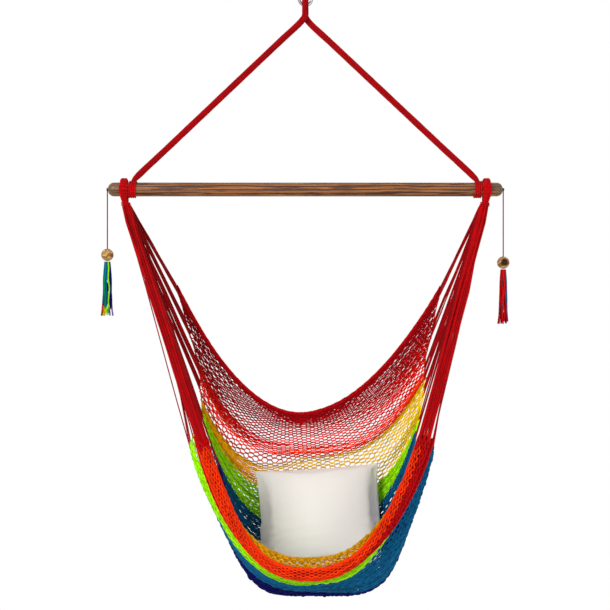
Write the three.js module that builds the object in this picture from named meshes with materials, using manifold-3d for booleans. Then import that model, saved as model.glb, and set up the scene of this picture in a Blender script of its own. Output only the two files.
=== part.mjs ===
// Hammock chair: a knotted cord seat, gathered at both sides and hung from a wooden spreader bar.
// The bar hangs from a doubled rope, and the rope's eye from a spring snap hook.
// Millimetres, +Z up, +X to the right and +Y away from someone who faces the chair.
// The origin is the place inside the snap hook's top bow where a ceiling hook carries the chair.
import * as THREE from 'three';
import { mergeVertices } from 'three/addons/utils/BufferGeometryUtils.js';
import Module from 'manifold-3d';

const wasm = await Module();
wasm.setup();

// Driving dimensions of the whole chair
const fitGap = 0.3; // left between pieces that touch on the real chair
const barDrop = 544; // from the hanging point down to the bar's axis
const barLength = 1020;
const barRadius = 18;
const netHalfWidth = 366; // the seat's upper corners, from the middle
const netReach = 300; // the seat's lip, in front of the bar
const netDrop = 1038; // from the bar's axis down to the lowest part of the seat
const seatShift = 7; // away from the lip's side, which balances the seat and its cushion under the bar
const netThickness = 4; // two crossing cords
const bandGap = 1.5; // between one colour's band and the next
const mergeWithin = 0.0005; // corners closer than this are one corner

// Snap hook
const wireRadius = 4;
const hookInnerLength = 64;
const hookInnerWidth = 26;
const hookTurn = THREE.MathUtils.degToRad(15); // how far its plane is turned from the bar's
const gateRadius = 3.9;
const tabThickness = 3.2; // the flattened ends of the wire, inside the gate's slots
const tabReach = 5.4;
const rivetRadius = 1.3;
const rivetRise = 4.4; // from the gate's lower end
const rivetHeadRadius = 2.4;
const rivetHeadHeight = 0.8;
const springWire = 0.35;
const springRadius = 1.3;
const springLength = 11;
const springCurls = 5;

// Suspension rope
const ropeRadius = 8.5;
const eyeSeatGap = 0.8; // over the hook's wire, so that the eye can rock on it
const eyeArchRadius = 14;
const throatGap = 0.4; // between the rope's two strands
const throatReach = 25; // from the hook's inner end down to where the rope bends sideways
const throatDrop = hookInnerLength + throatReach;
const throatLength = 12; // of the legs, before they part
const legBend = 14;
const bendSteps = 4;

// Hitches, loops and seizings at each end of the bar
const loopInset = 42; // from the bar's end to the middle of the clew loop
const loopCentre = barLength / 2 - loopInset;
const loopWidth = 19;
const loopThickness = 11.2;
const neckRadius = 9.4;
const neckShift = 4; // the neck hangs nearer the middle than the loop's own middle
const hitchCordRadius = 2.2;
const hitchPitch = 5;
const hitchTurns = 4;
const legShift = 2; // from the hitch's middle, clear of the clew loop
const seizingCordRadius = 1.4;
const seizingPitch = 3.3;
const seizingTurns = 3;

// Strings from the neck to the seat
const stringRadius = 1.5;
const stringGap = 0.6; // from a string's end to the seat's edge
const gatherShift = 8; // of the gather, nearer the middle than the loop's own middle
const gatherHeight = 12;
const gatherWidth = 26;
const gatherDepth = 5.8;

// Rolled edges
const backRollThickness = 13;
const lipRollRadius = 17;
const edgeRollRadius = 8;

// Cushion
const cushionWidth = 338;
const cushionHeight = 320;
const cushionThickness = 112;
const cushionAside = 40; // its middle, to the right of the bar's middle
const cushionBehind = 27; // its middle, behind the bar
const cushionSlack = 1.2; // it hangs this far above the place where it would touch the net
const cushionLean = THREE.MathUtils.degToRad(-31);
const cushionTilt = THREE.MathUtils.degToRad(-4);

// Tassels
const tackRadius = 1.2;
const tackDepth = 16;
const tackHeadRadius = 3.6;
const tackHeadHeight = 1;
const tasselCordRadius = 1.1;
const beadRadius = 16;
const beadBore = 2;
const beadDrops = { left: 153, right: 173 }; // from the bar's axis to the bead's top
const knotRadius = 7.5;
const knotTipRadius = 0.8; // where the cord enters it
const knotHeight = 9;
const knotGap = 0.6; // under the cord's end, so that the skirt can sway
const strandRadius = 1.5;
const strandLengths = { left: 141, right: 142 };
const strandSplay = 14;
const skirtRadius = 10;

// Counts
const wireSides = 10;
const ropeSides = 12;
const cordSides = 6;
const seatColumnCount = 18;
const loopSteps = 16;

// The seat's surface. Each row is a place on the way from the back edge, down under the sitter,
// up to the fold of the lip and over it. Shares of netHalfWidth, netReach and netDrop.
const leftEdgeShares = [
  [-0.954, 0.5, -0.232],
  [-0.781, 0.367, -0.437],
  [-0.762, 0.323, -0.477],
  [-0.738, 0.24, -0.565],
  [-0.661, 0.113, -0.652],
  [-0.607, -0.05, -0.686],
  [-0.615, -0.217, -0.69],
  [-0.732, -0.4, -0.683],
  [-0.765, -0.55, -0.642],
  [-0.768, -0.64, -0.614],
  [-0.716, -0.707, -0.587],
  [-0.699, -0.76, -0.593],
];
const middleShares = [
  [-0.041, 0.683, -0.57],
  [-0.022, 0.707, -0.656],
  [-0.014, 0.683, -0.688],
  [0, 0.573, -0.781],
  [0.008, 0.393, -0.868],
  [0.014, 0.183, -0.935],
  [0.016, -0.133, -1],
  [0.022, -0.45, -0.97],
  [0.022, -0.717, -0.94],
  [0.022, -0.873, -0.92],
  [0.022, -0.96, -0.868],
  [0.022, -1.02, -0.888],
];
const rightEdgeShares = [
  [1, 0.5, -0.237],
  [0.861, 0.35, -0.453],
  [0.863, 0.317, -0.489],
  [0.82, 0.22, -0.576],
  [0.781, 0.083, -0.616],
  [0.781, -0.067, -0.657],
  [0.798, -0.233, -0.671],
  [0.82, -0.4, -0.671],
  [0.855, -0.583, -0.644],
  [0.842, -0.667, -0.614],
  [0.809, -0.713, -0.587],
  [0.798, -0.76, -0.591],
];
// How square each cross curve is, left and right of its middle: 2 is a parabola
const squareShares = [
  [1.95, 1.9], [2.7, 2.6], [3.2, 3.1], [3.1, 3.4], [3.4, 4], [4, 4.5],
  [4.3, 5.6], [2.5, 4.6], [2.3, 3.6], [2.45, 2.9], [2.6, 2.4], [2.6, 2.4],
];
const evenShare = 0.25; // draws the columns closer together near the side edges
const meshShare = 0.62; // how much of the way to its neighbours each gap in the net reaches
const backRollShare = 0.14; // of the first stretch
// Where each colour of the net ends and the next begins: at the left edge, in the middle and at the
// right edge, in stretches along the seat
const borderShares = [
  [backRollShare, backRollShare, backRollShare],
  [1.5, 1, 0.85],
  [2.6, 2.05, 1.8],
  [3, 3, 3.2],
  [3.75, 4, 3.75],
  [5, 5, 5],
  [6.75, 6.8, 6.2],
  [7.15, 7.75, 8.8],
  [9.5, 9.3, 9.4],
  [11, 11, 11],
];

// Colours
const finishes = {
  steel: [0x8d9093, 0.35, 0.9],
  crimson: [0xa80a12, 0.85, 0],
  scarlet: [0xc81420, 0.85, 0],
  orange: [0xf2461c, 0.85, 0],
  gold: [0xe0a82c, 0.85, 0],
  lime: [0x94e02a, 0.85, 0],
  teal: [0x14648f, 0.85, 0],
  navy: [0x1c1c62, 0.85, 0],
  wood: [0x96643c, 0.5, 0],
  beadWood: [0xc8a56e, 0.5, 0],
  canvas: [0xe8e4de, 0.9, 0],
};
const materials = {};
for (const [name, [color, roughness, metalness]] of Object.entries(finishes)) {
  materials[name] = new THREE.MeshStandardMaterial({ color, roughness, metalness });
}

const chair = new THREE.Group();
const barAxis = new THREE.Group();
barAxis.position.z = -barDrop;
const hook = new THREE.Group();
hook.rotation.z = hookTurn;
chair.add(barAxis, hook);

function place(name, geometry, finish, group) {
  const mesh = new THREE.Mesh(geometry, materials[finish]);
  mesh.name = name;
  group.add(mesh);
  return mesh;
}

// Shape helpers

// A closed body from corner points and triangles, turned so that its faces point out
function closedBody(points, triangles) {
  let volume = 0;
  for (const [a, b, c] of triangles) {
    volume += points[a].dot(points[b].clone().cross(points[c]));
  }
  const outward = volume < 0 ? triangles.map(([a, b, c]) => [a, c, b]) : triangles;
  const geometry = new THREE.BufferGeometry().setFromPoints(points);
  geometry.setIndex(outward.flat());
  return geometry;
}

// A skin over rings of equal point counts, with a flat cap on the first and last ring
function loft(rings) {
  const sides = rings[0].length;
  const triangles = [];
  for (let i = 0; i + 1 < rings.length; i++) {
    for (let j = 0; j < sides; j++) {
      const a = i * sides + j;
      const b = i * sides + (j + 1) % sides;
      triangles.push([a, b, a + sides], [b, b + sides, a + sides]);
    }
  }
  const last = (rings.length - 1) * sides;
  for (let j = 1; j + 1 < sides; j++) {
    triangles.push([0, j + 1, j], [last, last + j, last + j + 1]);
  }
  return closedBody(rings.flat(), triangles);
}

// Directions along a path, and two square to it that don't twist
function framesAlong(points) {
  const frames = [];
  points.forEach((point, i) => {
    const before = points[Math.max(i - 1, 0)];
    const after = points[Math.min(i + 1, points.length - 1)];
    const along = after.clone().sub(before).normalize();
    let across;
    if (i) {
      across = frames[i - 1].across.clone();
    } else {
      across = new THREE.Vector3(0, 1, 0);
      if (Math.abs(along.y) > Math.SQRT1_2) across.set(1, 0, 0);
    }
    across.addScaledVector(along, -across.dot(along)).normalize();
    frames.push({ point, along, across, other: along.clone().cross(across) });
  });
  return frames;
}

function ringOf({ point, across, other }, radiusA, radiusB, sides) {
  return Array.from({ length: sides }, (_, j) => {
    const turn = 2 * Math.PI * (j + 0.5) / sides;
    return point.clone()
      .addScaledVector(across, radiusA * Math.cos(turn))
      .addScaledVector(other, radiusB * Math.sin(turn));
  });
}

function tube(points, radius, sides) {
  return loft(framesAlong(points).map((frame) => ringOf(frame, radius, radius, sides)));
}

function rod(from, to, radius, sides) {
  return tube([from, to], radius, sides);
}

// A turned body around Z, from [radius, height] points that start and end on the axis
function turned(profile, sides) {
  const points = profile.map(([r, h]) => new THREE.Vector2(r, h));
  return new THREE.LatheGeometry(points, sides).rotateX(Math.PI / 2);
}

function solidOf(geometry) {
  const bare = geometry.clone();
  bare.deleteAttribute('normal');
  bare.deleteAttribute('uv');
  const merged = mergeVertices(bare, mergeWithin);
  return new wasm.Manifold(new wasm.Mesh({
    numProp: 3,
    vertProperties: merged.attributes.position.array,
    triVerts: new Uint32Array(merged.index.array),
  }));
}

function geometryOf(solid) {
  const mesh = solid.getMesh();
  const geometry = new THREE.BufferGeometry();
  geometry.setAttribute('position', new THREE.BufferAttribute(mesh.vertProperties, 3));
  geometry.setIndex(new THREE.BufferAttribute(mesh.triVerts, 1));
  return geometry;
}

function joined(geometries) {
  return geometryOf(geometries.map(solidOf).reduce((whole, piece) => whole.add(piece)));
}

function cutBy(geometry, cutters) {
  return geometryOf(cutters.map(solidOf).reduce((rest, cutter) => rest.subtract(cutter), solidOf(geometry)));
}

// A cord wound around X, one turn beside the other, and the least distance from its skin to itself
function winding(radius, pitch, turns, cordRadius) {
  const reach = radius / Math.cos(Math.PI / loopSteps);
  const points = Array.from({ length: turns * loopSteps + 1 }, (_, i) => {
    const turn = 2 * Math.PI * i / loopSteps;
    const shift = pitch * (i / loopSteps - turns / 2);
    return new THREE.Vector3(shift, reach * Math.cos(turn), reach * Math.sin(turn));
  });
  let least = Infinity;
  points.forEach((point, i) => {
    for (const other of points.slice(i + loopSteps / 2)) {
      least = Math.min(least, point.distanceTo(other));
    }
  });
  return { points, gap: least - 2 * cordRadius };
}

// Snap hook: one bent wire, with a sprung gate riveted to its lower end
const bowRadius = hookInnerWidth / 2 + wireRadius;
const topBow = wireRadius - bowRadius;
const bottomBow = -hookInnerLength - wireRadius + bowRadius;
const gateTop = topBow - wireRadius;
const gateBottom = bottomBow + wireRadius;
const rivetHeight = gateBottom + rivetRise;
const slotFloor = rivetHeight + wireRadius + fitGap;
const shoulderGap = 1.9; // between the gate's ends and the wire's shoulders, for the swing
const bowSteps = 9;
const tabSteps = 5;

function bow(centre, from, to) {
  return Array.from({ length: bowSteps + 1 }, (_, i) => {
    const turn = from + (to - from) * i / bowSteps;
    return new THREE.Vector3(bowRadius * Math.cos(turn), 0, centre + bowRadius * Math.sin(turn));
  });
}

// A flat tab with a rounded end, standing on the wire's end
function tab(height, reach) {
  const shape = new THREE.Shape();
  const half = wireRadius * Math.cos(Math.PI / wireSides);
  shape.moveTo(-half, 0);
  shape.lineTo(half, 0);
  shape.lineTo(half, reach);
  shape.absarc(0, reach, half, 0, Math.PI, false);
  const options = { depth: tabThickness, bevelEnabled: false, curveSegments: tabSteps };
  const flat = new THREE.ExtrudeGeometry(shape, options).translate(0, 0, -tabThickness / 2);
  return flat.rotateX(Math.PI / 2).translate(bowRadius, 0, height);
}

const lowerShoulder = gateBottom - shoulderGap;
const upperShoulder = gateTop + shoulderGap;
const wirePath = [
  new THREE.Vector3(bowRadius, 0, upperShoulder),
  ...bow(topBow, 0, Math.PI),
  ...bow(bottomBow, Math.PI, 2 * Math.PI),
  new THREE.Vector3(bowRadius, 0, lowerShoulder),
];
const upperTab = tab(0, tabReach - shoulderGap + fitGap).rotateY(Math.PI);
upperTab.translate(2 * bowRadius, 0, upperShoulder + fitGap);
const rivetHole = rod(
  new THREE.Vector3(bowRadius, -wireRadius, rivetHeight),
  new THREE.Vector3(bowRadius, wireRadius, rivetHeight),
  rivetRadius + fitGap,
  loopSteps,
);
const hookBody = joined([
  tube(wirePath, wireRadius, wireSides),
  tab(lowerShoulder - fitGap, rivetHeight - lowerShoulder + fitGap),
  upperTab,
]);
place('snap_hook_body', cutBy(hookBody, [rivetHole]), 'steel', hook);

function slotCutter(from, to) {
  const width = tabThickness + 2 * fitGap;
  const box = new THREE.BoxGeometry(2 * bowRadius, width, to - from);
  return box.translate(bowRadius, 0, (from + to) / 2);
}

function pillar(from, to, radius) {
  return rod(new THREE.Vector3(bowRadius, 0, from), new THREE.Vector3(bowRadius, 0, to), radius, loopSteps);
}

const springBore = pillar(gateBottom, slotFloor + springLength + fitGap, springRadius + springWire + fitGap);
const gate = cutBy(pillar(gateBottom, gateTop, gateRadius), [
  slotCutter(gateBottom - gateRadius, slotFloor),
  slotCutter(gateTop - tabReach - wireRadius, gateTop + gateRadius),
  springBore,
  rivetHole,
]);
place('snap_hook_gate', gate, 'steel', hook);

const rivetEnd = gateRadius + fitGap;
const rivet = turned([
  [0, -rivetEnd - rivetHeadHeight],
  [rivetHeadRadius, -rivetEnd - rivetHeadHeight],
  [rivetHeadRadius, -rivetEnd],
  [rivetRadius, -rivetEnd],
  [rivetRadius, rivetEnd],
  [rivetHeadRadius, rivetEnd],
  [rivetHeadRadius, rivetEnd + rivetHeadHeight],
  [0, rivetEnd + rivetHeadHeight],
], loopSteps).rotateX(Math.PI / 2).translate(bowRadius, 0, rivetHeight);
place('gate_rivet', rivet, 'steel', hook);

const springSteps = 8;
const springPath = Array.from({ length: springCurls * springSteps + 1 }, (_, i) => {
  const turn = 2 * Math.PI * i / springSteps;
  const rise = (springLength - 2 * springWire) * i / (springCurls * springSteps);
  return new THREE.Vector3(
    bowRadius + springRadius * Math.cos(turn),
    springRadius * Math.sin(turn),
    slotFloor + springWire + rise,
  );
});
place('gate_spring', tube(springPath, springWire, cordSides - 1), 'steel', hook);

// Rope eye: up one side of the throat, over the hook's wire and down the other side
const crown = -hookInnerLength + ropeRadius + eyeSeatGap;
const strandOffset = ropeRadius + throatGap / 2;
const archCentre = crown - eyeArchRadius;
const throatTop = -throatDrop + ropeRadius / 2;
const throatWidthShare = 0.62;
const throatHeightShare = 0.57;
const archSteps = 8;
const eyeSteps = 18;

function eyePath() {
  const side = [
    new THREE.Vector3(0, strandOffset, -throatDrop),
    new THREE.Vector3(0, strandOffset, throatTop),
    new THREE.Vector3(
      0,
      THREE.MathUtils.lerp(strandOffset, eyeArchRadius, throatWidthShare),
      THREE.MathUtils.lerp(throatTop, archCentre, throatHeightShare),
    ),
  ];
  const arch = Array.from({ length: archSteps + 1 }, (_, i) => {
    const turn = Math.PI * i / archSteps;
    return new THREE.Vector3(0, eyeArchRadius * Math.cos(turn), archCentre + eyeArchRadius * Math.sin(turn));
  });
  const back = side.map((p) => new THREE.Vector3(p.x, -p.y, p.z)).reverse();
  return new THREE.CatmullRomCurve3([...side, ...arch, ...back]).getSpacedPoints(eyeSteps);
}

function ball(radius, centre, sides) {
  return new THREE.SphereGeometry(radius, sides, sides / 2).translate(centre.x, centre.y, centre.z);
}

const strandEnds = [-strandOffset, strandOffset].map((y) => new THREE.Vector3(0, y, -throatDrop));
const roundEnds = strandEnds.map((end) => ball(ropeRadius, end, ropeSides));
place('rope_eye', joined([tube(eyePath(), ropeRadius, ropeSides), ...roundEnds]), 'crimson', chair);

// Leg ropes, and the hitch that ties each one to its end of the bar
const sideNames = [['left', -1], ['right', 1]];
const hitchRadius = barRadius + fitGap + hitchCordRadius;
const hitchSkin = hitchRadius / Math.cos(Math.PI / loopSteps) + hitchCordRadius + fitGap;
const hitchCentre = loopCentre - loopWidth / 2 - fitGap - hitchTurns * hitchPitch / 2 - hitchCordRadius;

function legPath(side) {
  const start = new THREE.Vector3(0, side * strandOffset, -throatDrop + fitGap);
  const part = new THREE.Vector3(0, side * strandOffset, -throatDrop - throatLength);
  const end = new THREE.Vector3(side * (hitchCentre - legShift), 0, -barDrop + hitchSkin);
  const away = end.clone().sub(part).normalize();
  end.addScaledVector(away, 2 * ropeRadius);
  const bend = new THREE.QuadraticBezierCurve3(
    part.clone().setZ(part.z + legBend / 2),
    part,
    part.clone().addScaledVector(away, legBend),
  );
  return [start, ...bend.getPoints(bendSteps), end];
}

for (const [name, side] of sideNames) {
  const cupRadius = (ropeRadius + fitGap) / Math.cos(Math.PI / ropeSides);
  const cup = ball(cupRadius, new THREE.Vector3(0, side * strandOffset, -throatDrop), ropeSides);
  const seat = rod(
    new THREE.Vector3(side * (hitchCentre - 2 * hitchSkin), 0, -barDrop),
    new THREE.Vector3(side * (hitchCentre + 2 * hitchSkin), 0, -barDrop),
    hitchSkin / Math.cos(Math.PI / (2 * loopSteps)),
    2 * loopSteps,
  );
  const leg = cutBy(tube(legPath(side), ropeRadius, ropeSides), [cup, seat]);
  place(`${name}_leg_rope`, leg, 'crimson', chair);

  const { points, gap } = winding(hitchRadius, hitchPitch, hitchTurns, hitchCordRadius);
  const hitch = tube(points, hitchCordRadius, cordSides).translate(side * hitchCentre, 0, 0);
  place(`${name}_leg_hitch`, hitch, 'crimson', barAxis);
  console.log(`${name} leg hitch, least gap to itself: ${gap.toFixed(2)} mm`);
}

// Spreader bar, turned round at both ends, with a hole for each tassel's tack
const endRound = 7;
const barProfile = [[0, -barLength / 2]];
const roundSteps = 3;
for (let i = 0; i <= roundSteps; i++) {
  const turn = Math.PI / 2 * i / roundSteps;
  barProfile.push([
    barRadius - endRound + endRound * Math.sin(turn),
    -barLength / 2 + endRound - endRound * Math.cos(turn),
  ]);
}
barProfile.push(...barProfile.map(([r, h]) => [r, -h]).reverse());
const tackHoles = sideNames.map(([, side]) => rod(
  new THREE.Vector3(side * (barLength / 2 - tackDepth - fitGap), 0, 0),
  new THREE.Vector3(side * (barLength / 2 + tackDepth), 0, 0),
  (tackRadius + fitGap) / Math.cos(Math.PI / ropeSides),
  ropeSides,
));
const barBlank = turned(barProfile, 2 * ropeSides).rotateY(Math.PI / 2);
place('spreader_bar', cutBy(barBlank, tackHoles), 'wood', barAxis);

// Clew loop: a thick ring of cords round the bar, and the neck where both its sides meet
const ringRadius = (barRadius + fitGap) / Math.cos(Math.PI / loopSteps) + loopThickness / 2;
const seizingTop = ringRadius + loopThickness / 2 + seizingCordRadius + fitGap;
const neckBottom = seizingTop + seizingTurns * seizingPitch + seizingCordRadius + fitGap;

function clewLoop(side) {
  const neckX = -side * neckShift;
  const ring = new THREE.TorusGeometry(1, 1, ropeSides, loopSteps);
  const places = ring.attributes.position;
  for (let k = 0; k < places.count; k++) {
    const around = 2 * Math.PI * (k % (loopSteps + 1)) / loopSteps;
    const section = 2 * Math.PI * Math.floor(k / (loopSteps + 1)) / ropeSides;
    const reach = ringRadius + loopThickness / 2 * Math.cos(section);
    places.setXYZ(k, loopWidth / 2 * Math.sin(section), reach * Math.cos(around), reach * Math.sin(around));
  }
  const neck = rod(
    new THREE.Vector3(neckX, 0, -ringRadius),
    new THREE.Vector3(neckX, 0, -neckBottom),
    neckRadius,
    ropeSides,
  );
  return joined([ring, neck]).translate(side * loopCentre, 0, 0);
}

// The seat's surface at a share across, from -1 at the left edge to 1 at the right, and a share along
const rails = [leftEdgeShares, middleShares, rightEdgeShares].map((rows) => new THREE.CatmullRomCurve3(
  rows.map(([x, y, z]) => new THREE.Vector3(x * netHalfWidth, y * netReach + seatShift, z * netDrop)),
));
const stretches = squareShares.length - 1;

function seatPoint(across, along) {
  const middle = rails[1].getPoint(along);
  const edge = rails[across < 0 ? 0 : 2].getPoint(along);
  const row = Math.min(Math.floor(along * stretches), stretches - 1);
  const share = along * stretches - row;
  const column = across < 0 ? 0 : 1;
  const square = THREE.MathUtils.lerp(squareShares[row][column], squareShares[row + 1][column], share);
  const spread = Math.abs(across) * (1 + evenShare * (1 - across * across));
  return new THREE.Vector3(
    THREE.MathUtils.lerp(middle.x, edge.x, spread),
    THREE.MathUtils.lerp(middle.y, edge.y, spread * spread),
    THREE.MathUtils.lerp(middle.z, edge.z, spread ** square),
  );
}

const nudgeShare = 0.002;

function seatFrame(across, along) {
  const side = across > 0 ? -nudgeShare : nudgeShare;
  const back = along > nudgeShare ? -nudgeShare : nudgeShare;
  const point = seatPoint(across, along);
  const tangent = seatPoint(across + side, along).sub(point).multiplyScalar(Math.sign(side)).normalize();
  const down = seatPoint(across, along + back).sub(point).multiplyScalar(Math.sign(back)).normalize();
  const normal = tangent.clone().cross(down).normalize();
  const outward = down.clone().cross(normal).multiplyScalar(Math.sign(across) || 1);
  return { point, down, normal, outward };
}

// Where a border between two colours lies along the seat
function borderPlace(border, across) {
  const [left, middle, right] = borderShares[border];
  const share = Math.sin(Math.PI / 2 * Math.abs(across));
  return THREE.MathUtils.lerp(middle, across < 0 ? left : right, share) / stretches;
}

// Where a row of a band lies along the seat. Each band has the number of the border above it.
function rowPlace(band, rows, row, across) {
  const from = borderPlace(band, across);
  const to = borderPlace(band + 1, across);
  const width = seatPoint(across, from).distanceTo(seatPoint(across, to));
  const inset = bandGap / 2 * (to - from) / width;
  return from + inset + (to - from - 2 * inset) * row / rows;
}

// A band of the net between two borders, with diamond gaps between its cords
function netBand(band, rows) {
  const points = [];
  const triangles = [];
  const numbers = new Map();
  const isGap = (i, j) => i > 0 && j > 0 && i < seatColumnCount && j < rows && (i + j) % 2 === 1;
  function corner(i, j) {
    const key = `${i.toFixed(3)} ${j.toFixed(3)}`;
    if (!numbers.has(key)) {
      const across = 2 * i / seatColumnCount - 1;
      const { point, normal } = seatFrame(across, rowPlace(band, rows, j, across));
      numbers.set(key, points.length);
      points.push(point.clone().addScaledVector(normal, netThickness / 2));
      points.push(point.clone().addScaledVector(normal, -netThickness / 2));
    }
    return numbers.get(key);
  }
  function wall(a, b) {
    triangles.push([a, b, b + 1], [a, b + 1, a + 1]);
  }
  for (let i = 0; i < seatColumnCount; i++) {
    for (let j = 0; j < rows; j++) {
      const cell = [[i, j], [i + 1, j], [i + 1, j + 1], [i, j + 1]];
      const outline = cell.flatMap(([x, y], k) => {
        if (!isGap(x, y)) return [corner(x, y)];
        const neighbours = [cell[(k + 3) % 4], cell[(k + 1) % 4]];
        const cut = neighbours.map(([nx, ny]) => corner(x + (nx - x) * meshShare, y + (ny - y) * meshShare));
        wall(...cut);
        return cut;
      });
      for (let k = 1; k + 1 < outline.length; k++) {
        triangles.push([outline[0], outline[k + 1], outline[k]]);
        triangles.push([outline[0] + 1, outline[k] + 1, outline[k + 1] + 1]);
      }
      if (j === 0) wall(corner(i, j), corner(i + 1, j));
      if (j === rows - 1) wall(corner(i + 1, rows), corner(i, rows));
      if (i === 0) wall(corner(i, j + 1), corner(i, j));
      if (i === seatColumnCount - 1) wall(corner(i + 1, j), corner(i + 1, j + 1));
    }
  }
  return closedBody(points, triangles);
}

const bands = [
  ['net_red', 4, 'scarlet'],
  ['net_orange', 2, 'orange'],
  ['net_gold_back', 4, 'gold'],
  ['net_lime_back', 4, 'lime'],
  ['net_teal_back', 2, 'teal'],
  ['net_navy', 6, 'navy'],
  ['net_teal_front', 2, 'teal'],
  ['net_lime_front', 2, 'lime'],
  ['net_gold_front', 4, 'gold'],
];
bands.forEach(([name, rows, finish], band) => {
  place(name, netBand(band, rows), finish, barAxis);
});

// Rolled back edge: it fills the first share of the surface
const columnsAcross = Array.from({ length: seatColumnCount + 1 }, (_, i) => 2 * i / seatColumnCount - 1);

function backFrame(across) {
  const top = seatFrame(across, 0);
  const bottom = seatFrame(across, backRollShare / stretches);
  const reach = bottom.point.clone().sub(top.point);
  const half = reach.length() / 2 - fitGap;
  const point = top.point.clone().add(bottom.point).multiplyScalar(1 / 2);
  return { point, across: reach.normalize(), other: top.normal, outward: top.outward, half };
}

function backRoll() {
  return loft(columnsAcross.map((across) => {
    const frame = backFrame(across);
    return ringOf(frame, frame.half, backRollThickness / 2, cordSides + 2);
  }));
}

place('back_edge_roll', backRoll(), 'crimson', barAxis);

// Rolled front lip: a thick roll below the fold, and the seat's last edge tucked outside it
const lipRollShares = [0.9, 0.92, 1]; // of its radius, at the left edge, in the middle and at the right edge
const edgeRollTurnShares = [0.42, 0.31, 0.33];
const edgeRollTaperShare = 0.35;

function lipFrame(across) {
  const { point, down, normal, outward } = seatFrame(across, 1);
  const [left, middle, right] = lipRollShares;
  const radius = lipRollRadius * THREE.MathUtils.lerp(middle, across < 0 ? left : right, across * across);
  const centre = point.clone().addScaledVector(down, radius + fitGap);
  return { point: centre, across: down, other: normal, outward, radius };
}

function edgeFrame(across) {
  const frame = lipFrame(across);
  const [left, middle, right] = edgeRollTurnShares;
  const share = THREE.MathUtils.lerp(middle, across < 0 ? left : right, Math.abs(across));
  const turn = 2 * Math.PI * share;
  const radius = edgeRollRadius * (1 - edgeRollTaperShare * across ** 4);
  const reach = frame.radius + radius + fitGap;
  const point = frame.point.clone()
    .addScaledVector(frame.across, reach * Math.cos(turn))
    .addScaledVector(frame.other, reach * Math.sin(turn));
  return { frame: { ...frame, point }, radius };
}

const lipRings = columnsAcross.map((across) => {
  const frame = lipFrame(across);
  return ringOf(frame, frame.radius, frame.radius, ropeSides);
});
place('front_lip_roll', loft(lipRings), 'orange', barAxis);
const edgeRings = columnsAcross.map((across) => {
  const { frame, radius } = edgeFrame(across);
  return ringOf(frame, radius, radius, cordSides + 2);
});
place('front_edge_roll', loft(edgeRings), 'scarlet', barAxis);

// Strings: each group leaves its own gather under the neck, and ends at the seat's side edge
const groups = { back: 1, middle: 0, front: -1 }; // how far behind the bar each one's gather is
const groupShares = { back: [0, 0.236], middle: [0.236, 0.637], front: [0.637, 0.927] };
const backStringSteps = [1, 0, -1];
const rollStringCount = 5;
const gatherSpread = gatherWidth - 4 * stringRadius;

function stringTo(start, edge, outward) {
  const back = start.clone().sub(edge).normalize();
  const facing = back.dot(outward);
  const lean = Math.sqrt(1 - facing * facing);
  return edge.clone().addScaledVector(back, (stringGap + stringRadius * lean) / facing);
}

function clewStrings(side, depth, [from, to]) {
  const gather = new THREE.Vector3(
    side * (loopCentre - gatherShift),
    depth * (gatherDepth + fitGap),
    -neckBottom - fitGap,
  );
  const box = new THREE.BoxGeometry(gatherWidth, gatherDepth, gatherHeight);
  const lump = box.translate(gather.x, gather.y, gather.z - gatherHeight / 2);
  const places = bands.flatMap(([, rows], band) => Array.from(
    { length: rows - 1 },
    (_, row) => rowPlace(band, rows, row + 1, side),
  ));
  const ends = places.filter((place) => place > from && place < to).map((place) => seatFrame(side, place));
  if (depth > 0) {
    const frame = backFrame(side);
    for (const step of backStringSteps) {
      const point = frame.point.clone().addScaledVector(frame.across, step * frame.half / 2);
      ends.unshift({ point, outward: frame.outward });
    }
  }
  if (depth < 0) {
    const frame = lipFrame(side);
    const reach = frame.radius - 2 * stringRadius;
    for (let i = 0; i < rollStringCount; i++) {
      const offset = reach * (2 * i / (rollStringCount - 1) - 1);
      const point = frame.point.clone().addScaledVector(frame.other, offset);
      ends.push({ point, outward: frame.outward });
    }
  }
  if (depth >= 0) ends.reverse(); // so that the strings to the back leave the gather nearest the middle
  const strings = ends.map(({ point, outward }, i) => {
    const shift = gatherSpread * (i / (ends.length - 1) - 1 / 2);
    const start = gather.clone().add(new THREE.Vector3(-side * shift, 0, -gatherHeight + 2 * stringRadius));
    return rod(start, stringTo(start, point, outward), stringRadius, cordSides - 1);
  });
  return joined([lump, ...strings]);
}

for (const [name, side] of sideNames) {
  place(`${name}_clew_loop`, clewLoop(side), 'crimson', barAxis);
  const seizingRadius = neckRadius + fitGap + seizingCordRadius;
  const { points, gap } = winding(seizingRadius, seizingPitch, seizingTurns, seizingCordRadius);
  console.log(`${name} neck seizing, least gap to itself: ${gap.toFixed(2)} mm`);
  const depth = seizingTop + seizingTurns * seizingPitch / 2;
  const seizing = tube(points, seizingCordRadius, cordSides).rotateY(Math.PI / 2);
  seizing.translate(side * (loopCentre - neckShift), 0, -depth);
  place(`${name}_neck_seizing`, seizing, 'crimson', barAxis);
  for (const [group, depth] of Object.entries(groups)) {
    place(`${name}_${group}_strings`, clewStrings(side, depth, groupShares[group]), 'scarlet', barAxis);
  }
}

// Cushion: crowned on both faces, its sides drawn in between the corners
const cushionColumnCount = 14;
const drawnInShare = 0.06;
const taperShare = 0.08; // squeezed by the seat at its lower edge
const crownShare = 0.55;

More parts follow.
